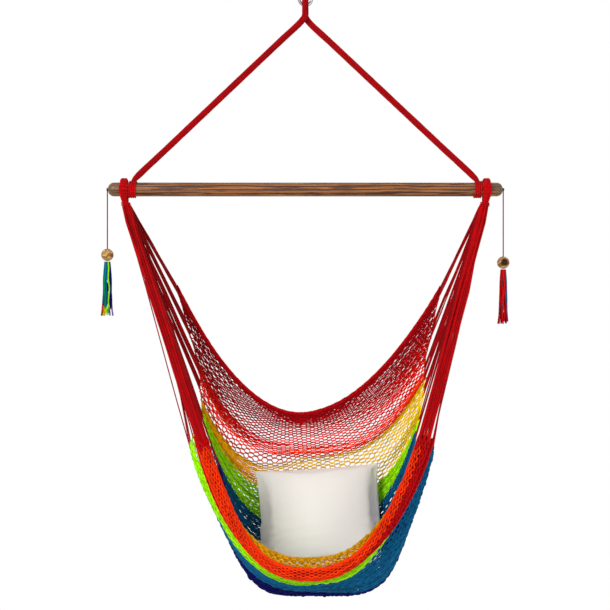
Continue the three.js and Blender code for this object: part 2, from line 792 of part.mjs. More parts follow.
function cushion() {
  const count = cushionColumnCount + 1;
  const points = [];
  const numbers = [[], []];
  for (const face of [0, 1]) {
    for (let k = 0; k < count * count; k++) {
      const [i, j] = [k % count, Math.floor(k / count)];
      const rim = !(i % cushionColumnCount && j % cushionColumnCount);
      if (face && rim) {
        numbers[1].push(numbers[0][k]);
        continue;
      }
      const [a, b] = [i, j].map((n) => Math.sin(Math.PI / 2 * (2 * n / cushionColumnCount - 1)));
      const crown = ((1 - a * a) * (1 - b * b)) ** crownShare;
      numbers[face].push(points.length);
      points.push(new THREE.Vector3(
        cushionWidth / 2 * a * (1 - drawnInShare * (1 - b * b)) * (1 - taperShare * (1 - b) / 2),
        (face ? 1 : -1) * cushionThickness / 2 * crown,
        cushionHeight / 2 * b * (1 - drawnInShare * (1 - a * a)),
      ));
    }
  }
  const triangles = [];
  numbers.forEach((grid, face) => {
    for (let i = 0; i < cushionColumnCount; i++) {
      for (let j = 0; j < cushionColumnCount; j++) {
        const [a, b, c, d] = [0, 1, count, count + 1].map((step) => grid[j * count + i + step]);
        const pair = face ? [[a, c, b], [b, c, d]] : [[a, b, c], [b, d, c]];
        triangles.push(...pair);
      }
    }
  });
  return closedBody(points, triangles);
}

// How far below the bar a body comes to rest, from a place clear of all the others
function restingDrop(body, others, start, step) {
  const touches = (drop) => others.some((other) => !body.translate(0, 0, -drop).intersect(other).isEmpty());
  let drop = start;
  while (drop < barDrop + netDrop && !touches(drop + step)) drop += step;
  for (let part = step / 2; part > mergeWithin; part /= 2) {
    if (!touches(drop + part)) drop += part;
  }
  return drop;
}

const pillowTurn = new THREE.Euler(cushionLean, cushionTilt, 0);
const pillow = cushion().applyMatrix4(new THREE.Matrix4().makeRotationFromEuler(pillowTurn));
pillow.translate(cushionAside, cushionBehind, 0);
const netMeshes = barAxis.children.filter(({ name }) => name.startsWith('net'));
const net = netMeshes.map(({ geometry }) => solidOf(geometry));
const pillowDrop = restingDrop(solidOf(pillow), net, netDrop - cushionHeight, cushionThickness / 8);
place('cushion', pillow.translate(0, 0, cushionSlack - pillowDrop), 'canvas', barAxis);

// Tassels: a tack in the bar's end, a cord, a wooden bead and a skirt of strands under a knot
const cordGap = 0.5; // between the bar's end, the cord's ring and the tack's head
const ringInner = tackRadius + fitGap + tasselCordRadius;
const beadSteps = 8;
const strandCount = 12;
const innerStrandCount = 4;

function cordRing(x) {
  const ring = new THREE.TorusGeometry(ringInner, tasselCordRadius, cordSides, 2 * cordSides);
  return ring.rotateY(Math.PI / 2).translate(x, 0, 0);
}

function bead(x, top) {
  const start = Math.asin(beadBore / beadRadius);
  const profile = Array.from({ length: beadSteps + 1 }, (_, i) => {
    const turn = start + (Math.PI - 2 * start) * i / beadSteps;
    return [beadRadius * Math.sin(turn), -beadRadius * Math.cos(turn)];
  });
  profile.push(profile[0]);
  return turned(profile, loopSteps).translate(x, 0, top - beadRadius);
}

function skirt(x, top, length) {
  const knot = turned([
    [0, -knotHeight],
    [knotRadius, -knotHeight],
    [knotRadius, -knotHeight / 2],
    [knotTipRadius, 0],
    [0, 0],
  ], ropeSides);
  const strands = Array.from({ length: strandCount }, (_, i) => {
    const inner = i < innerStrandCount;
    const turn = 2 * Math.PI * (inner ? i / innerStrandCount : (i + 0.5) / (strandCount - innerStrandCount));
    const out = new THREE.Vector3(Math.cos(turn), Math.sin(turn), 0);
    const startRadius = inner ? knotRadius / 3 : knotRadius - strandRadius;
    const middleRadius = inner ? knotRadius / 2 : skirtRadius;
    const endRadius = inner ? strandSplay / 2 : strandSplay;
    return tube([
      out.clone().multiplyScalar(startRadius).setZ(-knotHeight + strandRadius),
      out.clone().multiplyScalar(middleRadius).setZ(-length / 2),
      out.clone().multiplyScalar(endRadius).setZ(-length),
    ], strandRadius, cordSides - 1);
  });
  return joined([knot, ...strands]).translate(x, 0, top);
}

for (const [name, side] of sideNames) {
  const x = side * (barLength / 2 + cordGap + tasselCordRadius);
  const headPlace = 2 * (cordGap + tasselCordRadius);
  const tack = turned([
    [0, -tackDepth],
    [tackRadius, -tackDepth + tackRadius],
    [tackRadius, headPlace],
    [tackHeadRadius, headPlace],
    [tackHeadRadius, headPlace + tackHeadHeight],
    [0, headPlace + tackHeadHeight],
  ], ropeSides).rotateY(Math.PI / 2).translate(barLength / 2, 0, 0);
  if (side < 0) tack.rotateZ(Math.PI);
  place(`${name}_tassel_tack`, tack, 'steel', barAxis);

  const drop = beadDrops[name];
  const cordEnd = drop + 2 * beadRadius;
  const cord = rod(
    new THREE.Vector3(x, 0, -ringInner),
    new THREE.Vector3(x, 0, -cordEnd),
    tasselCordRadius,
    cordSides + 2,
  );
  place(`${name}_tassel_cord`, joined([cordRing(x), cord]), 'crimson', barAxis);
  place(`${name}_tassel_bead`, bead(x, -drop), 'beadWood', barAxis);
  const finish = side < 0 ? 'teal' : 'scarlet';
  place(`${name}_tassel_skirt`, skirt(x, -cordEnd - knotGap, strandLengths[name]), finish, barAxis);
}

export default chair;
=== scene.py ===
# %% [markdown]
# # A hammock chair in knotted cord
# The real chair is a rainbow net of thin cord, gathered at both sides and hung from a wooden bar.
# Nearly everything on it is cord. So this lesson makes one small Geometry Nodes tree that turns
# lines into cord, and then works out where the lines run. The solid parts are turned and bent
# round that. All sizes are in metres.

import math
from contextlib import contextmanager

import bmesh
import bpy
import numpy as np
from mathutils import Euler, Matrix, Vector


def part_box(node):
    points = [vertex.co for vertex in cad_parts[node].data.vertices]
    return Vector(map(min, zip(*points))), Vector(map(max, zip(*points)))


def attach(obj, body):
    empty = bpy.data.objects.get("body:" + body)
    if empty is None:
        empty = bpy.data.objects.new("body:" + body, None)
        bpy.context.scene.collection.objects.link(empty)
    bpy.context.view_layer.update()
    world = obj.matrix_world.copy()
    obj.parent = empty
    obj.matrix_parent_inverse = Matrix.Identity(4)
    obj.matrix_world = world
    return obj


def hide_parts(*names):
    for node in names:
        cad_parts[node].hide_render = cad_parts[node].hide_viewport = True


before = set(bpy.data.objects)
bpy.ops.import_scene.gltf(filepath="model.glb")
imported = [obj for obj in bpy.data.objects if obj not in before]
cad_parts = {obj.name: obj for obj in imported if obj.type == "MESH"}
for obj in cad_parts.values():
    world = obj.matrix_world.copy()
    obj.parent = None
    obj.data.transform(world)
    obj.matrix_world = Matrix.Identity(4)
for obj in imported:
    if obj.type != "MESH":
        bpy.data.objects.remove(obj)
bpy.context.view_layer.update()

# %% [markdown]
# ## The camera
# The photograph was taken level and square on, from about 3.5 m. A long lens from there gives the
# same framing: the rope leaves the picture at the top, and the seat ends just above its foot.

# %% Camera
IMAGE_SIDE = 610
FOCAL_PIXELS = 1354
SENSOR_MM = 36
CAMERA_PLACE = (-0.0008, -3.5, -0.8426)

camera_data = bpy.data.cameras.new("camera")
camera_data.sensor_width = SENSOR_MM
camera_data.lens = SENSOR_MM * FOCAL_PIXELS / IMAGE_SIDE
camera_data.clip_end = 60
camera = bpy.data.objects.new("camera", camera_data)
camera.location = CAMERA_PLACE
camera.rotation_euler = (math.pi / 2, 0, 0)
bpy.context.scene.collection.objects.link(camera)
bpy.context.scene.camera = camera
print("camera: lens", round(camera_data.lens, 1), "mm")

# %% [markdown]
# ## Writing node trees in Python
# A node tree is quickest to read as an expression. `Value` wraps a socket, and Python's own
# operators add the Math nodes. Every other node comes from one method, which takes the node's type,
# its settings and its inputs. Shaders and Geometry Nodes share it.


# %% Helper: sockets as values
def placed(name, data):
    """A new object of the scene that holds the data."""
    piece = bpy.data.objects.new(name, data)
    bpy.context.scene.collection.objects.link(piece)
    return piece


@contextmanager
def editing(mesh):
    """The mesh opened for bmesh, and written back at the end of the block."""
    work = bmesh.new()
    work.from_mesh(mesh)
    yield work
    work.to_mesh(mesh)
    work.free()


class Value:
    def __init__(self, tree, socket):
        self.tree, self.socket = tree, socket

    def math(self, operation, *others):
        return self.tree.node("ShaderNodeMath", {"operation": operation}, self, *others)

    def clamped(self, most=1):
        return self.math("MAXIMUM", 0).math("MINIMUM", most)

    def __add__(self, other):
        return self.math("ADD", other)

    def __sub__(self, other):
        return self.math("SUBTRACT", other)

    def __mul__(self, other):
        return self.math("MULTIPLY", other)

    def __truediv__(self, other):
        return self.math("DIVIDE", other)

    def __rsub__(self, other):
        return (self * -1) + other

    def __pow__(self, other):
        return self.math("POWER", other)

    __radd__ = __add__
    __rmul__ = __mul__


class Tree:
    def __init__(self, nodes, links):
        self.nodes, self.links = nodes, links

    def node(self, kind, settings, *inputs, output=0, **named):
        made = self.nodes.new(kind)
        for key, setting in settings.items():
            setattr(made, key, setting)
        for key, value in [*enumerate(inputs), *named.items()]:
            self.put(made, key, value)
        return Value(self, made.outputs[output])

    def put(self, node, key, value):
        socket = node.inputs[key if isinstance(key, int) else key.replace("_", " ")]
        if isinstance(value, Value):
            self.links.new(value.socket, socket)
        elif value is not None:
            socket.default_value = value

    def mix(self, factor, first, second):
        made = self.nodes.new("ShaderNodeMix")
        made.data_type = "RGBA"
        for index, value in ((0, factor), (6, first), (7, second)):
            self.put(made, index, value)
        return Value(self, made.outputs[2])

    def ramp(self, value, stops):
        made = self.nodes.new("ShaderNodeValToRGB")
        elements = made.color_ramp.elements
        while len(elements) < len(stops):
            elements.new(0.5)
        for element, (place, colour) in zip(elements, stops):
            element.position, element.color = place, colour
        self.put(made, 0, value)
        return Value(self, made.outputs[0])


def linear(hex_colour, gain=1.0):
    parts = [int(hex_colour[i : i + 2], 16) / 255 for i in (0, 2, 4)]
    return (*[min(1, gain * (c / 12.92 if c <= 0.04045 else ((c + 0.055) / 1.055) ** 2.4)) for c in parts], 1)


print("colour check: mid grey is", round(linear("808080")[0], 3))

# %% [markdown]
# ## Finishes
# Cord first. Real cord is a few plies laid round each other, with fibres on them. The cord tree
# below leaves two attributes on its skin: how far along the cord a point is, and which way round.
# From those the ply is one line of maths, and it follows every bend. The groove between the plies
# is painted darker, as the shade that falls in it. Each cord differs a little in shade, and fine
# noise stands for the fibres.


# %% Finish: cord
class Finish(Tree):
    def __init__(self, name, **constants):
        self.material = bpy.data.materials.new(name)
        self.material.use_nodes = True
        super().__init__(self.material.node_tree.nodes, self.material.node_tree.links)
        self.shader = self.nodes["Principled BSDF"]
        for key, value in constants.items():
            self.put(self.shader, key, value)

    def attribute(self, name, output=2):
        return self.node("ShaderNodeAttribute", {"attribute_name": name}, output=output)

    def place(self):
        return self.node("ShaderNodeTexCoord", {}, output=3)

    def distance(self, centre):
        return self.node("ShaderNodeVectorMath", {"operation": "DISTANCE"}, self.place(), centre, output=1)

    def noise(self, vector, scale, detail=2.0):
        return self.node("ShaderNodeTexNoise", {}, Vector=vector, Scale=scale, Detail=detail)

    def stretched(self, vector, scale, turn=(0, 0, 0)):
        return self.node("ShaderNodeMapping", {}, vector, None, turn, scale)

    def bump(self, height, distance, strength=1.0, normal=None):
        return self.node(
            "ShaderNodeBump", {}, Strength=strength, Distance=distance, Height=height, Normal=normal,
        )

    def wear(self, **inputs):
        for key, value in inputs.items():
            self.put(self.shader, key, value)
        return self.material


PLIES = 3
LAYS_PER_METRE = 110


def cord_finish(name, colour=None, groove=0.55, fuzz=0.00012):
    finish = Finish(name, Sheen_Weight=0.02, Sheen_Roughness=0.5, Specular_IOR_Level=0.08)
    side = finish.attribute("cord_side", 1)
    parts = finish.nodes.new("ShaderNodeSeparateXYZ")
    finish.put(parts, 0, side)
    x, y = (Value(finish, parts.outputs[i]) for i in (0, 1))
    turn = y.math("ARCTAN2", x) * (PLIES / math.tau)
    lay = (turn + finish.attribute("cord_length") * (LAYS_PER_METRE * PLIES)).math("FRACT")
    ridge = 1 - ((lay * 2) - 1).math("ABSOLUTE") ** 2.2
    place = finish.place()
    fibre = finish.noise(place, 900.0, 3.0)
    patch = finish.noise(place, 42.0, 2.0)
    # painted shade: darker in the groove between the plies; cord_shade carries each cord's random tone and the
    # shade painted on it
    level = finish.attribute("cord_shade") * (0.7 + patch * 0.6) * (groove + ridge * (1 - groove))
    if colour is None:
        bright = finish.attribute("cord_tint", 0)
    else:
        bright = linear(colour)
    dull = finish.node("ShaderNodeHueSaturation", {}, Saturation=1.08, Value=level, Color=bright)
    height = ridge * 0.7 + fibre * 0.3
    return finish.wear(
        Base_Color=dull,
        Roughness=0.74 + fibre * 0.2,
        Normal=finish.bump(height, fuzz * 4, 0.7),
    )


COLOURS = {
    "maroon": "86040e",
    "crimson": "ae040c",
    "scarlet": "c4060e",
    "vermilion": "d8160e",
    "orange": "ff3a0c",
    "gold": "e8a81c",
    "lime": "a2f012",
    "teal": "0a6290",
    "navy": "17185e",
    "green": "0f8a4a",
    "lilac": "7a6ac0",
}
cord = {name: cord_finish(f"{name}_cord", colour) for name, colour in COLOURS.items()}
mixed_cord = cord_finish("mixed_cord")
wine_cord = cord_finish("wine_cord", "7c061e")
print("cord finishes:", ", ".join(cord))

# %% [markdown]
# ## Lines into cord
# The tree takes loose polylines and sweeps a ring along each. The radius, the number of sides and
# the finish are named inputs, so the same tree makes a 2 mm string and a 17 mm rope. Before the
# sweep it notes each point's distance along its line, and on the ring which way the point faces.


# %% Geometry Nodes: the cord tree
def new_group(name, inputs):
    group = bpy.data.node_groups.new(name, "GeometryNodeTree")
    group.interface.new_socket("Geometry", in_out="INPUT", socket_type="NodeSocketGeometry")
    for label, kind in inputs:
        group.interface.new_socket(label, in_out="INPUT", socket_type=f"NodeSocket{kind}")
    group.interface.new_socket("Geometry", in_out="OUTPUT", socket_type="NodeSocketGeometry")
    tree = Tree(group.nodes, group.links)
    entry = group.nodes.new("NodeGroupInput")
    values = {socket.name: Value(tree, socket) for socket in entry.outputs if socket.name}
    return group, tree, values


def end_group(group, tree, geometry, finish):
    smooth = tree.node("GeometryNodeSetShadeSmooth", {}, geometry)
    real = tree.node("GeometryNodeRealizeInstances", {}, smooth)
    painted = tree.node("GeometryNodeSetMaterial", {}, real, Material=finish)
    tree.put(group.nodes.new("NodeGroupOutput"), 0, painted)


def named(tree, geometry, name, kind, value):
    settings = {"data_type": kind, "domain": "POINT"}
    return tree.node("GeometryNodeStoreNamedAttribute", settings, geometry, Name=name, Value=value)


def cord_group():
    group, tree, given = new_group("cords_along_lines", [
        ("Radius", "Float"), ("Sides", "Int"), ("Finish", "Material"),
    ])
    lines = tree.node("GeometryNodeMeshToCurve", {}, given["Geometry"])
    along = tree.node("GeometryNodeSplineParameter", {}, output=1)
    lines = named(tree, lines, "cord_length", "FLOAT", along)
    ring = tree.node(
        "GeometryNodeCurvePrimitiveCircle", {}, Resolution=given["Sides"], Radius=given["Radius"],
    )
    facing = tree.node(
        "ShaderNodeVectorMath", {"operation": "NORMALIZE"}, tree.node("GeometryNodeInputPosition", {}),
    )
    ring = named(tree, ring, "cord_side", "FLOAT_VECTOR", facing)
    skin = tree.node("GeometryNodeCurveToMesh", {}, lines, ring, Fill_Caps=True)
    end_group(group, tree, skin, given["Finish"])
    return group


cords_along_lines = cord_group()


def through_tree(name, mesh, group, **inputs):
    """Runs a mesh through a Geometry Nodes tree and gives back the plain result."""
    source = placed(name, mesh)
    modifier = source.modifiers.new("tree", "NODES")
    modifier.node_group = group
    for item in group.interface.items_tree:
        if item.in_out == "INPUT" and item.name in inputs:
            modifier[item.identifier] = inputs[item.name]
    graph = bpy.context.evaluated_depsgraph_get()
    result = bpy.data.meshes.new_from_object(source.evaluated_get(graph), depsgraph=graph)
    source.modifiers.clear()
    source.data = result
    result.name = name
    bpy.data.meshes.remove(mesh)
    return source


def polylines(name, lines, shades=None, tints=None, closed=False):
    """A mesh of loose edges, one run of them for each line of points."""
    counts = [len(line) for line in lines]
    starts = np.concatenate([[0], np.cumsum(counts)[:-1]])
    edges = []
    for start, count in zip(starts, counts):
        here = np.arange(start, start + count - 1)
        edges.append(np.stack([here, here + 1], 1))
        if closed:
            edges.append(np.array([[start + count - 1, start]]))
    mesh = bpy.data.meshes.new(name)
    mesh.from_pydata(np.concatenate(lines).tolist(), np.concatenate(edges).tolist(), [])
    shade = mesh.attributes.new("cord_shade", "FLOAT", "POINT")
    levels = np.ones(len(lines)) if shades is None else np.asarray(shades)
    shade.data.foreach_set("value", np.repeat(levels, counts).astype(np.float32))
    if tints is not None:
        tint = mesh.attributes.new("cord_tint", "FLOAT_COLOR", "POINT")
        tint.data.foreach_set("color", np.concatenate(tints).astype(np.float32).ravel())
    return mesh


def corded(name, lines, radius, sides, finish, shades=None, tints=None, closed=False):
    mesh = polylines(name, lines, shades, tints, closed)
    made = through_tree(name, mesh, cords_along_lines, Radius=radius, Sides=sides, Finish=finish)
    print(f"{name}: {len(lines)} cords, {len(made.data.polygons)} faces")
    return made


def settle(piece, body, slot, *nodes):
    """The piece stands for these solids and moves with this body. The slot is not used."""
    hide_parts(*nodes)
    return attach(piece, body)


randoms = np.random.default_rng(7)


def shades_for(lines, spread=0.1):
    return 1 + spread * (2 * randoms.random(len(lines)) - 1)


# %% [markdown]
# ## The tassels' cords
# These are the only free cords on the chair. Each hangs from the end of the bar, through a bead, to
# the tassel's knot: 182 mm on the left and 202 mm on the right, all of it in view. They are thin
# and limp, and the bead keeps them straight.

# %% Tassel cords
BAR_Z = -0.544
HALF_BAR = 0.51
TASSEL_CORD_RADIUS = 0.0015
TASSEL_X = HALF_BAR + 0.0016
CORD_RING = 0.0026
BEAD_RADIUS = 0.016
BEAD_DROPS = {"left": 0.153, "right": 0.173}
SIDES = {"left": -1, "right": 1}
CORD_POINTS = 24

tassel_cords = {}
for name, side in SIDES.items():
    top = BAR_Z - CORD_RING
    length = BEAD_DROPS[name] + 2 * BEAD_RADIUS - CORD_RING
    heights = top - length * np.linspace(0, 1, CORD_POINTS)
    line = np.stack([np.full(CORD_POINTS, side * TASSEL_X), np.zeros(CORD_POINTS), heights], 1)
    piece = corded(f"{name}_hanging_cord", [line], TASSEL_CORD_RADIUS, 8, wine_cord)
    settle(piece, f"{name}_cord", "crimson_cord", f"{name}_tassel_cord")
    tassel_cords[name] = (piece, line, length)
    turns = np.linspace(0, math.tau, 20, endpoint=False)
    ring = np.stack([
        np.full(20, side * TASSEL_X), CORD_RING * np.sin(turns), BAR_Z + CORD_RING * np.cos(turns),
    ], 1)
    loop = corded(f"{name}_cord_ring", [ring], TASSEL_CORD_RADIUS, 8, wine_cord, closed=True)
    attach(loop, f"{name}_cord")

# %% [markdown]
# ## The seat's surface
# The frame's seat is a surface between three rails: the left edge, the middle and the right edge.
# Each row of the table is a place on the way from the back edge, down under the sitter and up over
# the lip. The same table, with the same curve through it, puts the net exactly where the solids are.

# %% Seat surface
HALF_WIDTH, REACH, DROP, SHIFT = 0.366, 0.300, 1.038, 0.007
LEFT_EDGE = np.array([
    [-0.954, 0.5, -0.232], [-0.781, 0.367, -0.437], [-0.762, 0.323, -0.477], [-0.738, 0.24, -0.565],
    [-0.661, 0.113, -0.652], [-0.607, -0.05, -0.686], [-0.615, -0.217, -0.69], [-0.732, -0.4, -0.683],
    [-0.765, -0.55, -0.642], [-0.768, -0.64, -0.614], [-0.716, -0.707, -0.587], [-0.699, -0.76, -0.593],
])
MIDDLE = np.array([
    [-0.041, 0.683, -0.57], [-0.022, 0.707, -0.656], [-0.014, 0.683, -0.688], [0, 0.573, -0.781],
    [0.008, 0.393, -0.868], [0.014, 0.183, -0.935], [0.016, -0.133, -1], [0.022, -0.45, -0.97],
    [0.022, -0.717, -0.94], [0.022, -0.873, -0.92], [0.022, -0.96, -0.868], [0.022, -1.02, -0.888],
])
RIGHT_EDGE = np.array([
    [1, 0.5, -0.237], [0.861, 0.35, -0.453], [0.863, 0.317, -0.489], [0.82, 0.22, -0.576],
    [0.781, 0.083, -0.616], [0.781, -0.067, -0.657], [0.798, -0.233, -0.671], [0.82, -0.4, -0.671],
    [0.855, -0.583, -0.644], [0.842, -0.667, -0.614], [0.809, -0.713, -0.587], [0.798, -0.76, -0.591],
])
SQUARENESS = np.array([
    [1.95, 1.9], [2.7, 2.6], [3.2, 3.1], [3.1, 3.4], [3.4, 4], [4, 4.5],
    [4.3, 5.6], [2.5, 4.6], [2.3, 3.6], [2.45, 2.9], [2.6, 2.4], [2.6, 2.4],
])
STRETCHES = len(MIDDLE) - 1
EVEN_SHARE = 0.25


def in_metres(rows):
    return rows * [HALF_WIDTH, REACH, DROP] + [0, SHIFT, BAR_Z]


RAILS = [in_metres(rows) for rows in (LEFT_EDGE, MIDDLE, RIGHT_EDGE)]


def curve_through(points, place):
    """A centripetal Catmull-Rom curve: place runs from 0 at the first point to 1 at the last."""
    points = np.vstack([2 * points[0] - points[1], points, 2 * points[-1] - points[-2]])
    whole = np.clip(np.asarray(place, float), 0, 1) * (len(points) - 3)
    row = np.minimum(whole.astype(int), len(points) - 4)
    w = (whole - row)[..., None]
    p0, p1, p2, p3 = (points[row + k] for k in range(4))
    neighbours = ((p0, p1), (p1, p2), (p2, p3))
    d0, d1, d2 = (np.sqrt(np.linalg.norm(b - a, axis=-1))[..., None] for a, b in neighbours)
    t1 = ((p1 - p0) / d0 - (p2 - p0) / (d0 + d1) + (p2 - p1) / d1) * d1
    t2 = ((p2 - p1) / d1 - (p3 - p1) / (d1 + d2) + (p3 - p2) / d2) * d1
    return p1 + w * (t1 + w * (3 * (p2 - p1) - 2 * t1 - t2 + w * (2 * (p1 - p2) + t1 + t2)))


def seat_point(across, along):
    across, along = np.broadcast_arrays(np.asarray(across, float), np.asarray(along, float))
    middle = curve_through(RAILS[1], along)
    left = across < 0
    edge = np.where(left[..., None], curve_through(RAILS[0], along), curve_through(RAILS[2], along))
    row = np.minimum((along * STRETCHES).astype(int), STRETCHES - 1)
    share = along * STRETCHES - row
    column = np.where(left, 0, 1)
    square = SQUARENESS[row, column] * (1 - share) + SQUARENESS[row + 1, column] * share
    spread = np.abs(across) * (1 + EVEN_SHARE * (1 - across**2))
    weights = np.stack([spread, spread**2, spread**square], -1)
    return middle + (edge - middle) * weights


def unit(vectors):
    return vectors / np.linalg.norm(vectors, axis=-1, keepdims=True)


NUDGE = 0.002


def seat_frame(across, along):
    """The point, the way down the seat, the way out of it, and the way out of its side edge."""
    across, along = np.broadcast_arrays(np.asarray(across, float), np.asarray(along, float))
    side = np.where(across > 0, -NUDGE, NUDGE)
    back = np.where(along > NUDGE, -NUDGE, NUDGE)
    point = seat_point(across, along)
    tangent = unit((seat_point(across + side, along) - point) * np.sign(side)[..., None])
    down = unit((seat_point(across, along + back) - point) * np.sign(back)[..., None])
    normal = unit(np.cross(tangent, down))
    outward = np.cross(down, normal) * np.where(across < 0, -1, 1)[..., None]
    return point, down, normal, outward


low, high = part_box("net_navy")
print("seat: lowest point", seat_point(0, 6 / STRETCHES).round(4), "frame", [round(v, 4) for v in low])

# %% [markdown]
# ## The net
# A hammock net is made row by row. Each row is one cord that zigzags, and hooks into the row above
# at every point, which gives six-sided holes. A flat grid bent over the seat would be the short
# way, but its holes shear near the sides. Here each hook's place is carried from row to row square
# to the rows, as the pull of the strings does it. At the back the rows are open. Towards the seat
# they close up. A fixed seed moves each hook a little, as a hand would.

# %% Colour borders
BACK_ROLL_SHARE = 0.14
BORDERS = np.array([
    [BACK_ROLL_SHARE, BACK_ROLL_SHARE, BACK_ROLL_SHARE], [1.5, 1, 0.85], [2.6, 2.05, 1.8], [3, 3, 3.2],
    [3.75, 4, 3.75], [5, 5, 5], [6.75, 6.8, 6.2], [7.15, 7.75, 9.2], [9.5, 9.3, 9.4], [11, 11, 11],
])
FRONT_LIME = 7


def border_place(border, across):
    """Where one colour ends and the next begins. The columns are the left edge, middle and right edge."""
    left, middle, right = BORDERS[border]
    side = np.where(across < 0, left, right)
    early = np.where((border == FRONT_LIME) & (across > 0), 1.7, 1)
    reach = np.sin(math.pi / 2 * np.minimum(1, early * np.abs(across)))
    return (middle + (side - middle) * reach) / STRETCHES


def band_place(band, share, across):
    start, end = border_place(band, across), border_place(band + 1, across)
    return start + (end - start) * share


print("borders in the middle of the seat:", BORDERS[:, 1].tolist())

# %% Where the rows and their hooks lie
HOOK_SPACING = 0.0118
WAVE_STEPS = 4
ACROSS = np.linspace(-1, 1, 401)
HOOK_NUMBERS = np.arange(-90, 91)


def run_along(line):
    return np.concatenate([[0], np.cumsum(np.linalg.norm(np.diff(line, axis=0), axis=1))])


def carried(line, phase, next_line):
    """The hooks' numbers along the next line, each one square to its place on this line."""
    slope = np.gradient(next_line, ACROSS, axis=0)
    shift = ((next_line - line) * slope).sum(1) / (slope**2).sum(1)
    place = np.maximum.accumulate(ACROSS - shift)
    run = run_along(next_line) / HOOK_SPACING
    first, last = np.interp(place[[0, -1]], ACROSS, run)
    before, after = phase[0] - first + run, phase[-1] - last + run
    inside = np.interp(ACROSS, place, phase)
    return np.where(ACROSS < place[0], before, np.where(ACROSS > place[-1], after, inside))


def hook_phases(alongs):
    """For each line of hooks, the hooks' numbers at ACROSS, counted from the middle."""
    lines = [seat_point(ACROSS, along) for along in alongs]
    middle = len(lines) // 2
    run = run_along(lines[middle])
    phases = {middle: (run - run[-1] / 2) / HOOK_SPACING}
    for j in range(middle + 1, len(lines)):
        phases[j] = carried(lines[j - 1], phases[j - 1], lines[j])
    for j in range(middle - 1, -1, -1):
        phases[j] = carried(lines[j + 1], phases[j + 1], lines[j])
    return phases


def rough(size, soft, hard):
    """Random numbers, one for each hook of a line: a slow wander and a quick one."""
    slow = np.convolve(randoms.normal(0, 1, size + 8), np.ones(9) / 3, "valid")
    return slow * soft + randoms.normal(0, 1, size) * hard


# %% The side edges' teeth
TOOTH = 0.007
TEETH = (0.0, 0.55, 1.05, 1.6, 2.3, 3.1, 4.2, 5.2, 6.2, 7.4, 8.6, 9.6)
TOOTH_WIDTH = 0.17


def tooth_reach(along):
    """How far a side edge is drawn out where the strings take hold of it."""
    apart = (np.asarray(along)[..., None] * STRETCHES - TEETH) / TOOTH_WIDTH
    return TOOTH * np.exp(-(apart**2)).sum(-1)


def drawn_out(point, outward, across, along):
    near = np.clip((np.abs(across) - 0.9) / 0.1, 0, 1) ** 2
    return point + outward * (tooth_reach(along) * near)[..., None]


# %% Net bands
NET_CORD = 0.0016
FLAT_PITCH = 0.0045
CLOSED_PITCH, OPEN_PITCH = 0.0010, 0.0027
DARK_ROWS = 1.5
FLAT_PEAKS = 1.35
HOOK_LAP = 0.0007
RIPPLE = 0.0016
# The last column is painted light for the left, the middle and the right: darker where that part of the net lies
# in shade, brighter where it faces the lamps or light shines through it. The red band darkens to maroon at its
# top, partly its own colour and partly painted shade, and DARK_ROWS keeps its top rows near that colour.
BANDS = [
    ("net_red", 33, 0.55, "maroon", "vermilion", (0.85, 1.6, 1.3)),
    ("net_orange", 14, 0, "vermilion", "orange", (0.85, 1.6, 1.5)),
    ("net_gold_back", 22, 0, "gold", "gold", (0.85, 1.6, 1.8)),
    ("net_lime_back", 30, 0, "lime", "lime", (0.85, 1.0, 1.0)),
    ("net_teal_back", 38, 0, "teal", "teal", (0.7, 1.0, 1.0)),
    ("net_navy", 60, 0, "navy", "navy", (0.7, 1.0, 1.0)),
    ("net_teal_front", 42, 0, "teal", "teal", (1.15, 0.9, 1.0)),
    ("net_lime_front", 32, 0, "lime", "lime", (1.15, 0.9, 1.0)),
    ("net_gold_front", 15, 0, "gold", "gold", (1.15, 0.9, 1.0)),
]
SLOTS = {"net_red": "scarlet_cord", "net_orange": "orange_cord"}
FAMILIES = [(0, 3), (3, 6), (6, 9)]


def by_side(values, across, share):
    """From a middle value towards the left or the right one."""
    left, middle, right = values
    return middle + (np.where(across < 0, left, right) - middle) * share


def hook_line(phase, numbers, along, nudge):
    """Points at these hook numbers on one line of hooks, with the way out of the seat there."""
    across = np.interp(numbers + np.interp(numbers, HOOK_NUMBERS, nudge), phase, ACROSS)
    place = np.interp(across, ACROSS, along)
    point, _, normal, outward = seat_frame(across, place)
    return drawn_out(point, outward, across, place), normal


def net_row(row, above, below, side_light):
    """One zigzag cord between two lines of hooks, and its painted light along its length."""
    first = min(above["phase"][0], below["phase"][0])
    last = max(above["phase"][-1], below["phase"][-1])
    numbers = np.arange(math.ceil(first * WAVE_STEPS), math.floor(last * WAVE_STEPS) + 1) / WAVE_STEPS
    wave = np.clip(FLAT_PEAKS * np.cos(math.pi * (numbers + row)), -1, 1)
    top, normal = hook_line(above["phase"], numbers, above["along"], above["aside"])
    low, _ = hook_line(below["phase"], numbers, below["along"], below["aside"])
    pitch = np.maximum(np.linalg.norm(low - top, axis=1), 1e-6)
    lift = [np.interp(numbers, HOOK_NUMBERS, line["lift"]) for line in (above, below)]
    opened = np.clip((pitch - CLOSED_PITCH) / (OPEN_PITCH - CLOSED_PITCH), 0.1, 1)
    share = 0.5 + opened * wave * (0.5 + np.minimum(HOOK_LAP / pitch, 0.3))
    share += np.interp(numbers, HOOK_NUMBERS, above["down"]) * (1 - wave) / 2
    share += np.interp(numbers, HOOK_NUMBERS, below["down"]) * (1 + wave) / 2
    out = wave * 0.6 * NET_CORD + RIPPLE * (lift[0] * (1 - wave) + lift[1] * (1 + wave)) / 2
    reach = 2 * (numbers - numbers[0]) / (numbers[-1] - numbers[0]) - 1
    light = by_side(side_light, reach, np.abs(reach))
    return top + (low - top) * share[:, None] + normal * out[:, None], light


def crowded(share, crowding):
    """Rows that lie closer together at the top of their band, in the middle of the seat."""
    return share + (share**3 - share) * crowding * (1 - np.abs(ACROSS))


